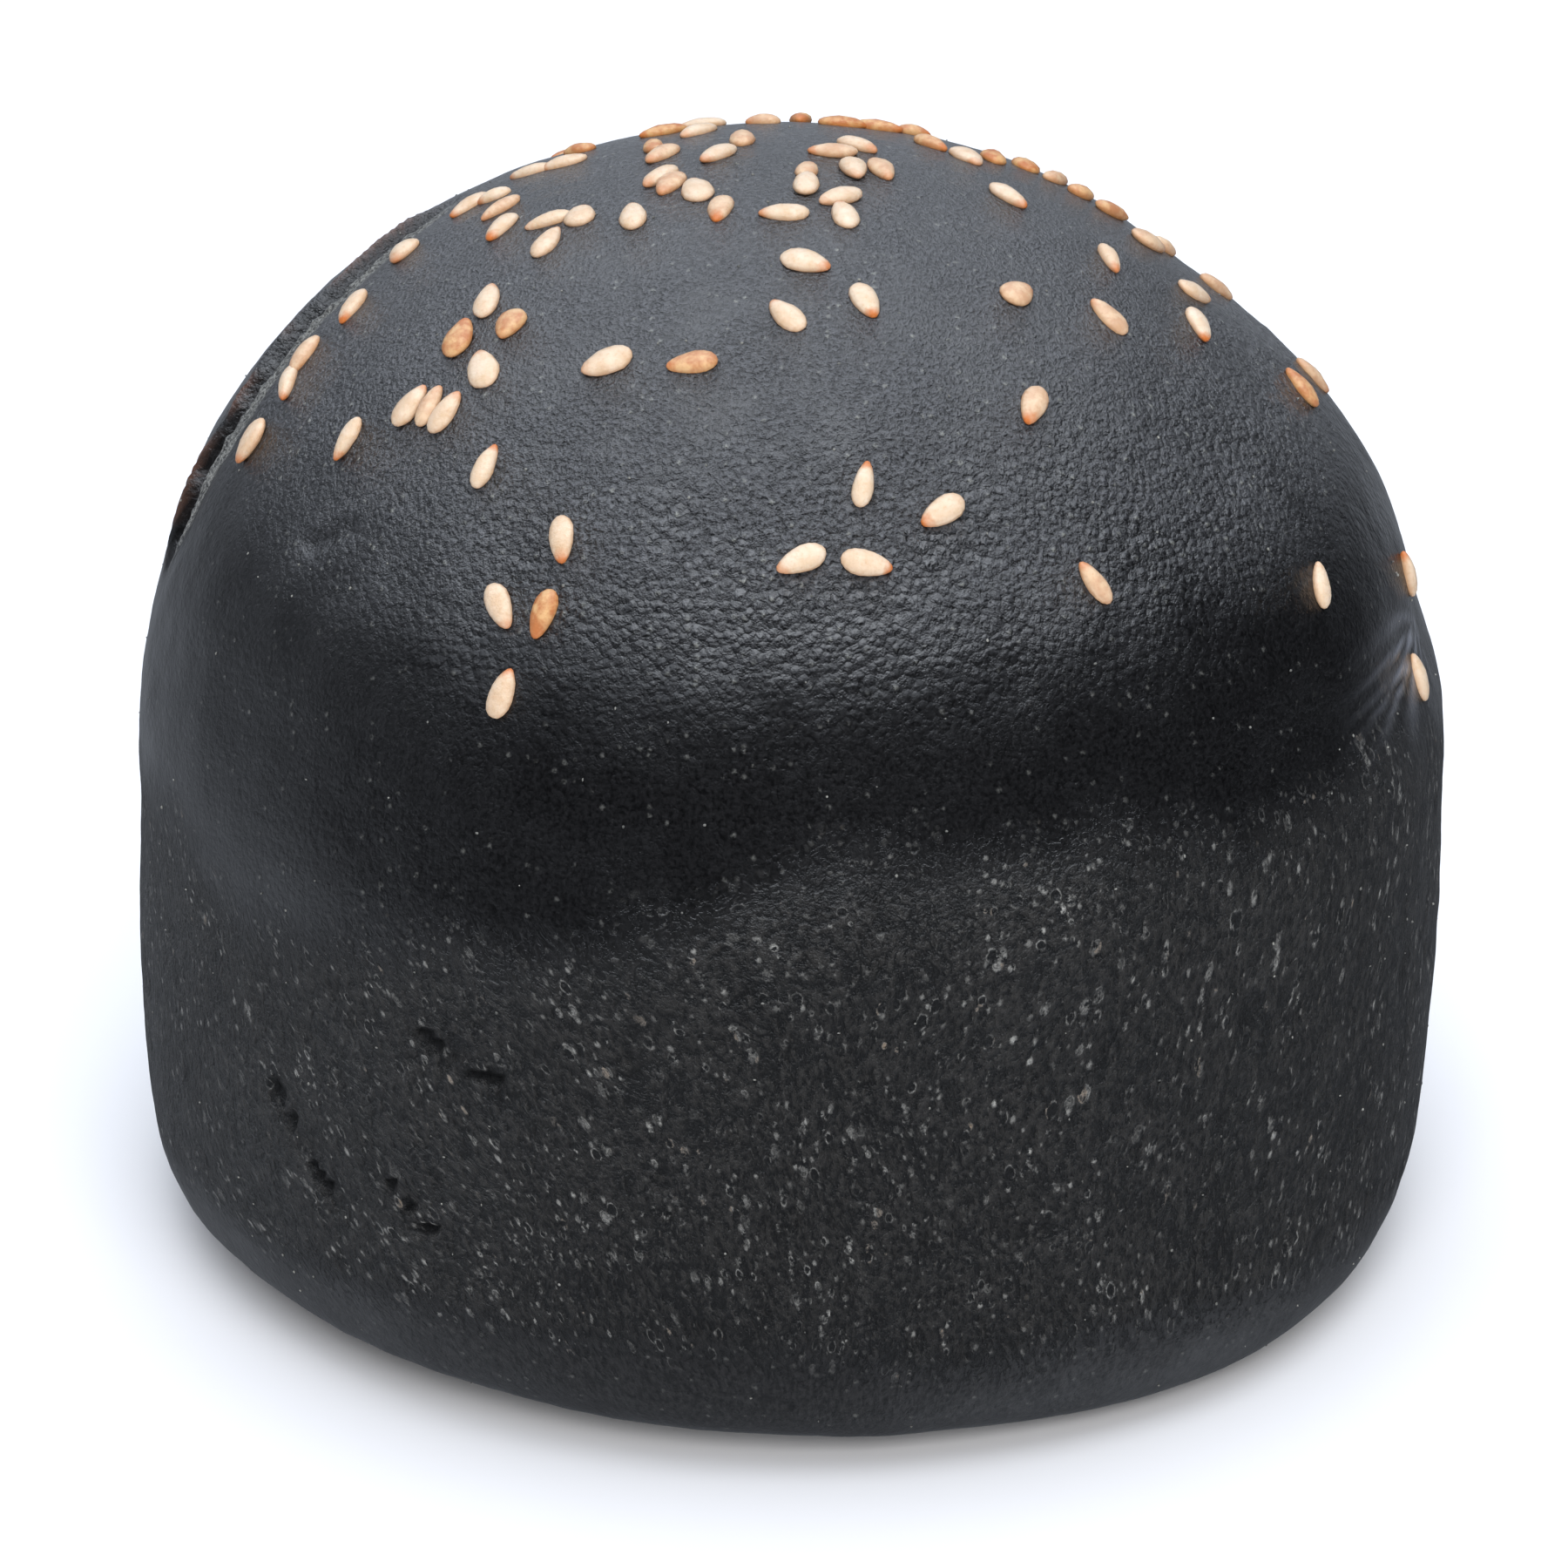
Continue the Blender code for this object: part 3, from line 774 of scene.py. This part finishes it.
def crust_finish():
    """Satin black crust on the dome, and matt porous black crust on the wall."""
    material, tree, shader = new_finish("black_crust")
    grain = attribute_of(tree, "grain_place", vector=True)
    porous, bumpy, torn, cleft, lip, foot, fan, sheen, patches = (
        attribute_of(tree, name) for name in (
            "porous", "bumpy", "torn", "cleft", "lip", "foot", "fan", "sheen", "patch"))
    dome = maths(tree, "SUBTRACT", 1.0, porous, clamp=True)
    mottle = grain_noise(tree, grain, 0.44, 3.0, 0.68)
    round_place = millimetre_place(tree)
    crinkle = grain_noise(tree, round_place, 0.28, 3.0, 0.62)
    drift = tree.nodes.new("ShaderNodeCombineXYZ")
    for index, (value, reach) in enumerate(((mottle, 0.35), (crinkle, 0.35), (mottle, -0.3))):
        feed(tree, drift.inputs[index], times(tree, maths(tree, "SUBTRACT", value, 0.5), reach))
    ragged = vector_maths(tree, "ADD", grain, drift.outputs[0])
    dome_place = vector_maths(tree, "ADD", round_place, drift.outputs[0])

    # pores: a hollow coloured near-black as painted shade, with a pale broken rim; specks: small
    # pale blisters
    pore_gap, pore_luck = cells(tree, ragged, 1.0)
    pore_size = spread(tree, part_of(tree, pore_luck, (0, 1, 0)), 0, 1, 0.14, 0.40)
    pore_here = maths(tree, "LESS_THAN", part_of(tree, pore_luck, (1, 0, 0)), 0.62)
    pore_edge = maths(tree, "SUBTRACT", pore_gap, pore_size)
    rim = maths(tree, "SUBTRACT", 1.0, maths(
        tree, "DIVIDE", maths(tree, "ABSOLUTE", pore_edge), 0.075), clamp=True)
    rim = times(tree, rim, times(tree, pore_here, spread(tree, mottle, 0.44, 0.60)))
    hole = maths(tree, "DIVIDE", maths(tree, "SUBTRACT", -0.03, pore_edge), 0.08, clamp=True)
    hole = times(tree, hole, times(tree, pore_here, maths(
        tree, "GREATER_THAN", part_of(tree, pore_luck, (0, 0, 1)), 0.42)))
    on_wall = maths(tree, "GREATER_THAN", maths(tree, "ADD", porous, mottle), 1.0)
    mark_place = mix_vector(tree, on_wall, dome_place, ragged)
    speck, mark_luck, mark_gap = specks(tree, mark_place, 0.6, 0.66, 0.08, 0.44, 0.24)
    crowd = spread(tree, patches, 0.38, 0.58, 0.22, 1.0)
    blob = maths(tree, "DIVIDE", times(tree, pore_edge, -1.0), 0.12, clamp=True)
    blob = times(tree, blob, times(tree, pore_here, maths(
        tree, "LESS_THAN", part_of(tree, pore_luck, (0, 0, 1)), 0.42)))
    blob = times(tree, blob, spread(tree, crinkle, 0.36, 0.58, 0.1, 0.75))
    pale = maths(tree, "MAXIMUM", maths(tree, "MAXIMUM", rim, blob), speck)
    pale = times(tree, pale, times(tree, porous, crowd))
    # Painted shade: the pores' hollows and the wall's low cracks and folds are coloured
    # near-black, where the relief also sinks them
    dark = maths(tree, "MAXIMUM", hole, spread(tree, mottle, 0.45, 0.39))
    fold = maths(tree, "ABSOLUTE", maths(tree, "SUBTRACT", grain_noise(
        tree, ragged, 2.2, 3.0, 0.6, 0.6), 0.5))
    fold = times(tree, spread(tree, fold, 0.012, 0.05, 1.0, 0.0),
                 spread(tree, patches, 0.42, 0.60, 1.0, 0.25))
    dark = times(tree, maths(tree, "MAXIMUM", dark, fold), porous)

    # leathery dome: small pillows between fine creases, with dusty flecks
    fleck = maths(tree, "GREATER_THAN", part_of(tree, mark_luck, (1, 0, 0)), 0.88)
    fleck = times(tree, fleck, spread(tree, mark_gap, 0.38, 0.12))
    fleck = times(tree, fleck, spread(tree, crinkle, 0.42, 0.58, 0.1, 1.0))
    fleck = times(tree, fleck, dome)
    brown = maths(tree, "GREATER_THAN", part_of(tree, mark_luck, (0, 0, 1)), 0.975)
    brown = times(tree, brown, times(tree, pale, 0.8))

    # The dome's colour is darker in the creases of its fine grain: painted shade
    colour = mix_colour(tree, spread(tree, crinkle, 0.35, 0.65), shade(0.0014, 0.0014, 0.0016),
                        shade(0.0085, 0.0086, 0.0094))
    # Upper dome: a dusty bluish bloom, which also stands as a painted sheen from the overhead
    # light, with painted shade in the creases of its grain; the band below is left dark
    dusty_bloom_and_painted_sheen = mix_colour(tree, spread(tree, crinkle, 0.42, 0.58), shade(0.003, 0.0031, 0.0036),
                      shade(0.052, 0.054, 0.060))
    colour = mix_colour(tree, times(tree, sheen, spread(
        tree, patches, 0.34, 0.66, 0.4, 1.0)), colour, dusty_bloom_and_painted_sheen)
    # The wall is painted darker where the mottle sinks its relief: painted shade in the hollows of
    # its black crust
    wall = mix_colour(tree, spread(tree, mottle, 0.38, 0.64), shade(0.0022, 0.0021, 0.0020),
                      shade(0.0235, 0.0222, 0.0205))
    coarse = maths(tree, "POWER", porous, 2.5)
    colour = mix_colour(tree, coarse, colour, wall)
    foot_tone = mix_colour(tree, spread(tree, mottle, 0.38, 0.62), BLACK_AND_PAINTED_SHADE,
                           shade(0.018, 0.0175, 0.018))
    colour = mix_colour(tree, times(tree, foot, 0.9), colour, foot_tone)
    pale_tone = mix_colour(tree, part_of(tree, mark_luck, (0, 0, 1)),
                           shade(0.085, 0.084, 0.079), shade(0.29, 0.29, 0.272))
    colour = mix_colour(tree, pale, colour, pale_tone)
    colour = mix_colour(tree, brown, colour, shade(0.16, 0.10, 0.05))
    colour = mix_colour(tree, dark, colour, BLACK_AND_PAINTED_SHADE)
    # The flecks' pale colour is painted brighter under the sheen mark and dimmer in the shaded
    # band below: painted light
    fleck_tone_with_painted_light = mix_colour(tree, sheen, shade(0.065, 0.066, 0.062), shade(0.16, 0.165, 0.15))
    colour = mix_colour(tree, fleck, colour, fleck_tone_with_painted_light)
    crumb_tone = mix_colour(tree, spread(tree, crinkle, 0.38, 0.62), shade(0.02, 0.02, 0.018),
                            shade(0.36, 0.36, 0.33))
    colour = mix_colour(tree, times(tree, torn, 0.9), colour, crumb_tone)
    # Painted shade: the tear's cleft, the slit and the rows of pits are coloured near-black
    colour = mix_colour(tree, spread(tree, cleft, 0.2, 0.6), colour, BLACK_AND_PAINTED_SHADE)
    # Painted highlight: pale bluish streaks on the pinch fan's fine creases
    colour = mix_colour(tree, fan, colour, shade(0.17, 0.18, 0.21))
    lip_brown = times(tree, lip, spread(tree, patches, 0.42, 0.56, 0.0, 0.9))
    colour = mix_colour(tree, lip_brown, colour, shade(0.14, 0.062, 0.036))
    feed(tree, shader.inputs["Base Color"], colour)

    rough = spread(tree, patches, 0.34, 0.66, 0.28, 0.34)
    rough = maths(tree, "MULTIPLY_ADD", porous, 0.27, rough)
    rough = maths(tree, "MULTIPLY_ADD", torn, 0.3, rough)
    rough = maths(tree, "MULTIPLY_ADD", foot, 0.15, rough, clamp=True)
    feed(tree, shader.inputs["Roughness"], rough)
    shader.inputs["Specular IOR Level"].default_value = 1.0

    # fine relief, as heights in millimetres
    height = times(tree, mark_gap, times(
        tree, dome, maths(tree, "MULTIPLY_ADD", bumpy, -0.19, -0.03)))
    grainy = maths(tree, "MULTIPLY_ADD", sheen, 0.21, times(tree, dome, 0.06))
    grainy = times(tree, grainy, spread(tree, patches, 0.36, 0.64, 0.85, 1.25))
    height = maths(tree, "MULTIPLY_ADD", crinkle, grainy, height)
    height = maths(tree, "MULTIPLY_ADD", mottle, times(tree, coarse, 0.68), height)
    height = maths(tree, "MULTIPLY_ADD", pale, 0.09, height)
    height = maths(tree, "MULTIPLY_ADD", dark, -0.14, height)
    height = maths(tree, "MULTIPLY_ADD", crinkle, times(tree, torn, 0.9), height)
    height = maths(tree, "MULTIPLY_ADD", fan, 0.15, height)
    add_relief(tree, shader, height, MM)
    return material


def seed_finish():
    """Hulled sesame: ivory, with a toasted pointed tip."""
    material, tree, shader = new_finish("toasted_sesame")
    along, tone, toast, flank = (
        attribute_of(tree, name) for name in ("along", "tone", "toast", "flank"))
    place = millimetre_place(tree)
    cloud = grain_noise(tree, place, 1.0, 3.0, 0.6)
    fine = grain_noise(tree, place, 0.25, 2.0, 0.6)
    ivory = mix_colour(tree, spread(tree, cloud, 0.3, 0.7), shade(0.63, 0.515, 0.40),
                       shade(0.55, 0.40, 0.26))
    golden = mix_colour(tree, spread(tree, cloud, 0.4, 0.6), shade(0.54, 0.31, 0.13),
                        shade(0.37, 0.12, 0.03))
    colour = mix_colour(tree, tone, ivory, golden)
    tip = maths(tree, "ADD", along, times(tree, maths(tree, "SUBTRACT", cloud, 0.5), 0.7))
    tip = spread(tree, tip, 0.55, 0.95)
    # Painted shade: the underside of each seed, towards the crust, is coloured warm brown
    colour = mix_colour(tree, spread(tree, flank, -0.45, 0.25, 0.0, 0.5), colour,
                        shade(0.50, 0.22, 0.075))
    colour = mix_colour(tree, times(tree, tip, toast), colour, shade(0.46, 0.135, 0.03))
    colour = mix_colour(tree, spread(tree, fine, 0.55, 0.75, 0.0, 0.18), colour,
                        shade(0.38, 0.19, 0.08))
    feed(tree, shader.inputs["Base Color"], colour)
    feed(tree, shader.inputs["Roughness"], spread(tree, cloud, 0.3, 0.7, 0.38, 0.52))
    shader.inputs["Subsurface Weight"].default_value = 0.12
    shader.inputs["Subsurface Radius"].default_value = (0.8, 0.45, 0.25)
    shader.inputs["Subsurface Scale"].default_value = 0.0006
    add_relief(tree, shader, fine, 0.06 * MM, strength=0.6)
    return material


def crumb_finish():
    """Pale dry crumbs and flour."""
    material, tree, shader = new_finish("dry_crumb")
    place = millimetre_place(tree)
    cloud = grain_noise(tree, place, 3.0, 2.0, 0.6)
    colour = mix_colour(tree, spread(tree, cloud, 0.35, 0.65), shade(0.07, 0.072, 0.068),
                        shade(0.24, 0.24, 0.22))
    feed(tree, shader.inputs["Base Color"], colour)
    feed(tree, shader.inputs["Roughness"], spread(tree, cloud, 0.3, 0.7, 0.75, 0.9))
    return material


# ---------------------------------------------------------------- seeds
def on_far_side(bearing, rise):
    """Whether a place lies well behind the bun's outline as seen from the front."""
    view = math.radians(VIEW_RISE)
    away = math.sin(math.radians(bearing)) * math.cos(math.radians(rise)) * math.cos(view)
    return away - math.sin(math.radians(rise)) * math.sin(view) > FAR_SIDE_MARGIN


def far_seeds():
    """Places for the seeds on the far side, kept apart from each other."""
    draw = random.Random(FAR_SEED_DRAW)
    taken = [crust_points(seed[0], seed[1]) for seed in SEEDS_SEEN]
    places = []
    kinds = ("plain", "plain", "plain", "slim", "plump", "small")
    while len(places) < FAR_SEED_COUNT:
        bearing = round(draw.uniform(0, 180))
        rise = round(math.degrees(math.asin(draw.uniform(0, 1))))
        luck = draw.random()
        turn = round(draw.uniform(-180, 180))
        kind = draw.choice(kinds)
        if rise < FAR_SEED_LOWEST or not on_far_side(bearing, rise):
            continue
        if luck > (rise / FAR_SEED_CROWDING) ** 2:
            continue
        point = crust_points(bearing, rise)
        if min(np.linalg.norm(point - other) for other in taken) < FAR_SEED_SPACING:
            continue
        taken.append(point)
        places.append((bearing, rise, turn, kind))
    return places


def seed_places():
    """A point for each seed, carrying its directions, size and toasting."""
    draw = random.Random(SEED_DRAW)
    rows = list(SEEDS_SEEN) + far_seeds()
    spots, forwards, outwards, sizes, tones, toasts = [], [], [], [], [], []
    for number, (bearing, rise, turn, kind) in enumerate(rows):
        downhill, along, outward = crust_axes(bearing, rise)
        angle = math.radians(turn)
        forward = downhill * math.cos(angle) + along * math.sin(angle)
        length, width = SEED_KINDS[kind]
        spots.append(crust_points(bearing, rise) + outward * (SEED_THICKNESS / 2 - SEED_SINK * 3))
        forwards.append(forward)
        outwards.append(outward)
        sizes.append((length / 2 * 0.95, width / 2 * draw.uniform(0.98, 1.06), SEED_THICKNESS / 2))
        if number in GOLDEN_SEEDS:
            tone = draw.uniform(0.75, 1.0)
        elif number in TAN_SEEDS:
            tone = draw.uniform(0.3, 0.5)
        elif number >= len(SEEDS_SEEN):
            tone = draw.choice((0.0, 0.1, 0.15, 0.3, 0.5, 0.9))
        else:
            tone = draw.uniform(0.0, 0.14)
        toast = 1.0 if number in BROWN_TIPPED_SEEDS else draw.uniform(0.35, 0.8)
        if number in GREY_SEEDS:
            tone, toast = 0.0, 0.1
        tones.append(tone)
        toasts.append(toast)
    mesh = bpy.data.meshes.new("seed_places")
    mesh.from_pydata([tuple(spot * MM) for spot in np.array(spots)], [], [])
    store(mesh, "forward", "FLOAT_VECTOR", np.array(forwards))
    store(mesh, "outward", "FLOAT_VECTOR", np.array(outwards))
    store(mesh, "half_size", "FLOAT_VECTOR", np.array(sizes) * MM)
    store(mesh, "tone", "FLOAT", np.array(tones))
    store(mesh, "toast", "FLOAT", np.array(toasts))
    return mesh


def seed_tree():
    """One tear-shaped seed, set on each point along the point's own directions."""
    tree, given, result = new_tree(
        "sesame_seeds", "Places", "Seeds", ("Taper", "Blunt end", "Wobble size", "Wobble"),
        ("Seed sides", "Seed rings"))
    ball = tree.nodes.new("GeometryNodeMeshUVSphere")
    feed(tree, ball.inputs["Segments"], given["Seed sides"])
    feed(tree, ball.inputs["Rings"], given["Seed rings"])
    ball.inputs["Radius"].default_value = 1.0
    place = tree.nodes.new("ShaderNodeSeparateXYZ")
    feed(tree, place.inputs[0], tree.nodes.new("GeometryNodeInputPosition").outputs[0])
    ahead, aside, above = place.outputs[2], place.outputs[1], place.outputs[0]
    lead = maths(tree, "ADD", ahead, 0.35)
    narrow = maths(tree, "SUBTRACT", 1.0, times(tree, lead, given["Taper"]))
    narrow = maths(tree, "MINIMUM", narrow, given["Blunt end"])
    plump = maths(tree, "MINIMUM", maths(tree, "ADD", narrow, 0.2), given["Blunt end"])
    formed = tree.nodes.new("ShaderNodeCombineXYZ")
    feed(tree, formed.inputs[0], ahead)
    feed(tree, formed.inputs[1], times(tree, aside, narrow))
    feed(tree, formed.inputs[2], times(tree, above, plump))
    shape = ball.outputs["Mesh"]
    for name, value in (("along", ahead), ("flank", maths(tree, "SUBTRACT", 0.0, above))):
        keep = tree.nodes.new("GeometryNodeStoreNamedAttribute")
        keep.data_type = "FLOAT"
        keep.domain = "POINT"
        keep.inputs["Name"].default_value = name
        feed(tree, keep.inputs["Geometry"], shape)
        feed(tree, keep.inputs["Value"], value)
        shape = keep.outputs["Geometry"]
    tear = tree.nodes.new("GeometryNodeSetPosition")
    feed(tree, tear.inputs["Geometry"], shape)
    feed(tree, tear.inputs["Position"], formed.outputs[0])

    facing = tree.nodes.new("FunctionNodeAxesToRotation")
    facing.primary_axis = "X"
    facing.secondary_axis = "Z"
    feed(tree, facing.inputs["Primary Axis"], marked(tree, "forward", "FLOAT_VECTOR"))
    feed(tree, facing.inputs["Secondary Axis"], marked(tree, "outward", "FLOAT_VECTOR"))
    points = tree.nodes.new("GeometryNodeMeshToPoints")
    feed(tree, points.inputs["Mesh"], given["Places"])
    scatter = tree.nodes.new("GeometryNodeInstanceOnPoints")
    feed(tree, scatter.inputs["Points"], points.outputs[0])
    feed(tree, scatter.inputs["Instance"], tear.outputs["Geometry"])
    feed(tree, scatter.inputs["Rotation"], facing.outputs[0])
    feed(tree, scatter.inputs["Scale"], marked(tree, "half_size", "FLOAT_VECTOR"))
    here = tree.nodes.new("GeometryNodeInputPosition").outputs[0]
    noise_node = tree.nodes.new("ShaderNodeTexNoise")
    feed(tree, noise_node.inputs["Vector"], here)
    feed(tree, noise_node.inputs["Scale"], maths(tree, "DIVIDE", 1.0, given["Wobble size"]))
    noise_node.inputs["Detail"].default_value = 1.0
    push = vector_maths(tree, "SUBTRACT", noise_node.outputs[1], (0.5, 0.5, 0.5))
    push = vector_maths(tree, "SCALE", push, scale=given["Wobble"])
    wobbled = tree.nodes.new("GeometryNodeSetPosition")
    feed(tree, wobbled.inputs["Geometry"], realized(tree, scatter.outputs[0]))
    feed(tree, wobbled.inputs["Offset"], push)
    return hand_out(tree, given, result, wobbled.outputs["Geometry"])


# ---------------------------------------------------------------- crumbs
def crumb_tree():
    """Tiny crumbs and flour specks scattered on the crust."""
    tree, given, result = new_tree(
        "crust_crumbs", "Crust", "Crumbs", ("Crumbs per square metre", "Smallest", "Largest"),
        ("Scatter seed",))
    dense = times(tree, given["Crumbs per square metre"], maths(
        tree, "GREATER_THAN", marked(tree, "free"), 0.99))
    spots = tree.nodes.new("GeometryNodeDistributePointsOnFaces")
    feed(tree, spots.inputs["Mesh"], given["Crust"])
    feed(tree, spots.inputs["Density"], dense)
    feed(tree, spots.inputs["Seed"], given["Scatter seed"])
    ball = tree.nodes.new("GeometryNodeMeshIcoSphere")
    ball.inputs["Radius"].default_value = 1.0
    ball.inputs["Subdivisions"].default_value = 1
    size = tree.nodes.new("FunctionNodeRandomValue")
    size.data_type = "FLOAT_VECTOR"
    for end, name in enumerate(("Smallest", "Largest")):
        corner = tree.nodes.new("ShaderNodeCombineXYZ")
        for index in range(3):
            feed(tree, corner.inputs[index], given[name])
        feed(tree, size.inputs[end], corner.outputs[0])
    feed(tree, size.inputs["Seed"], given["Scatter seed"])
    scatter = tree.nodes.new("GeometryNodeInstanceOnPoints")
    feed(tree, scatter.inputs["Points"], spots.outputs["Points"])
    feed(tree, scatter.inputs["Instance"], ball.outputs["Mesh"])
    feed(tree, scatter.inputs["Rotation"], spots.outputs["Rotation"])
    feed(tree, scatter.inputs["Scale"], size.outputs[0])
    return hand_out(tree, given, result, realized(tree, scatter.outputs[0]))


# ---------------------------------------------------------------- studio
def make_floor():
    """A plain pale floor, which lights the bun but is not mirrored in its crust."""
    mesh = bpy.data.meshes.new("studio_floor")
    half = FLOOR_HALF_WIDTH
    mesh.from_pydata(
        [(-half, -half, 0), (half, -half, 0), (half, half, 0), (-half, half, 0)],
        [], [(0, 1, 2, 3)])
    floor = bpy.data.objects.new("studio_floor", mesh)
    floor.location.z = -FLOOR_DROP * MM
    bpy.context.scene.collection.objects.link(floor)
    material, _, shader = new_finish("pale_floor")
    shader.inputs["Base Color"].default_value = shade(0.79, 0.79, 0.805)
    shader.inputs["Roughness"].default_value = 0.6
    shader.inputs["Specular IOR Level"].default_value = 0.2
    mesh.materials.append(material)
    floor.visible_glossy = False


def add_area_light(name, place, aim, width, height, power, colour, reflected=True):
    """A soft rectangular studio light, mirrored in the crust only where reflected."""
    data = bpy.data.lights.new(name, "AREA")
    data.shape = "RECTANGLE"
    data.size = width
    data.size_y = height
    data.energy = power
    data.color = colour
    light = bpy.data.objects.new(name, data)
    light.location = place
    light.rotation_euler = (Vector(aim) - Vector(place)).to_track_quat("-Z", "Y").to_euler()
    light.visible_glossy = reflected
    bpy.context.scene.collection.objects.link(light)


def make_studio():
    """Overhead softbox, bright surroundings behind and dim ones on the viewer's side.

    The fill light at the front is left out of mirror reflections, so that the crust
    that faces the viewer stays black.
    """
    world = bpy.data.worlds.new("studio")
    bpy.context.scene.world = world
    world.use_nodes = True
    tree = world.node_tree
    background = tree.nodes["Background"]
    direction = tree.nodes.new("ShaderNodeTexCoord").outputs["Generated"]
    above = vector_maths(tree, "DOT_PRODUCT", direction, (-0.10, 0.26, 0.96))
    level = maths(tree, "ADD", spread(tree, above, 0.43, 0.74, 0.01, 1.33),
                  spread(tree, above, 0.75, 1.0, 0.0, 0.35))
    aside = maths(tree, "ABSOLUTE", vector_maths(tree, "DOT_PRODUCT", direction, (1.0, 0.0, 0.0)))
    level = times(tree, level, spread(tree, aside, 0.52, 0.82, 1.0, 0.55))
    for aim, low, high, glow in SIDE_GLOWS:
        facing = vector_maths(tree, "DOT_PRODUCT", direction, aim)
        level = maths(tree, "ADD", level, spread(tree, facing, low, high, 0.0, glow))
    background.inputs["Color"].default_value = shade(0.90, 0.97, 1.09)
    feed(tree, background.inputs["Strength"], level)
    add_area_light("overhead_softbox", (0.02, -0.03, 0.90), (0, 0, 0.04), 0.8, 0.8, 3.6,
                   (0.95, 0.975, 1.0))
    add_area_light("front_fill", (0.10, -0.80, 0.50), (0, 0, 0.03), 0.9, 0.6, 9.6,
                   (1.0, 0.99, 0.985), reflected=False)
    scene = bpy.context.scene
    scene.view_settings.view_transform = "Standard"


def make_camera():
    """Looks down at the bun from the front, with a long lens."""
    data = bpy.data.cameras.new("front_view")
    data.lens = LENS
    data.sensor_width = SENSOR_WIDTH
    data.shift_x = -0.005
    camera = bpy.data.objects.new("front_view", data)
    camera.location = CAMERA_PLACE
    camera.rotation_euler = (math.radians(90 - VIEW_RISE), 0.0, 0.0)
    bpy.context.scene.collection.objects.link(camera)
    bpy.context.scene.camera = camera


# ---------------------------------------------------------------- the bun
crust = grow("bun_crust", make_crust_form(), crust_relief_tree(), {
    "Lump size": 11.0, "Lump height": 0.50, "Ripple size": 3.2, "Ripple height": 0.20,
    "Blister size": 1.3, "Blister height": 0.14, "Pit size": 1.9, "Pit depth": 0.5,
    "Torn size": 1.1, "Torn height": 0.9, "Pattern seed": 5, "Finish": crust_finish(),
})
seeds = grow("sesame_seeds", seed_places(), seed_tree(), {
    "Taper": 0.24, "Blunt end": 1.06, "Wobble size": 1.2 * MM, "Wobble": 0.18 * MM,
    "Seed sides": 12, "Seed rings": 9, "Finish": seed_finish(),
})
crumbs = grow("crust_crumbs", crust.data.copy(), crumb_tree(), {
    "Crumbs per square metre": 22000.0, "Smallest": 0.04 * MM, "Largest": 0.14 * MM,
    "Scatter seed": 3, "Finish": crumb_finish(),
})
for piece in (crust, seeds, crumbs):
    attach(piece, "root")
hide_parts("bun")
make_floor()
make_studio()
make_camera()
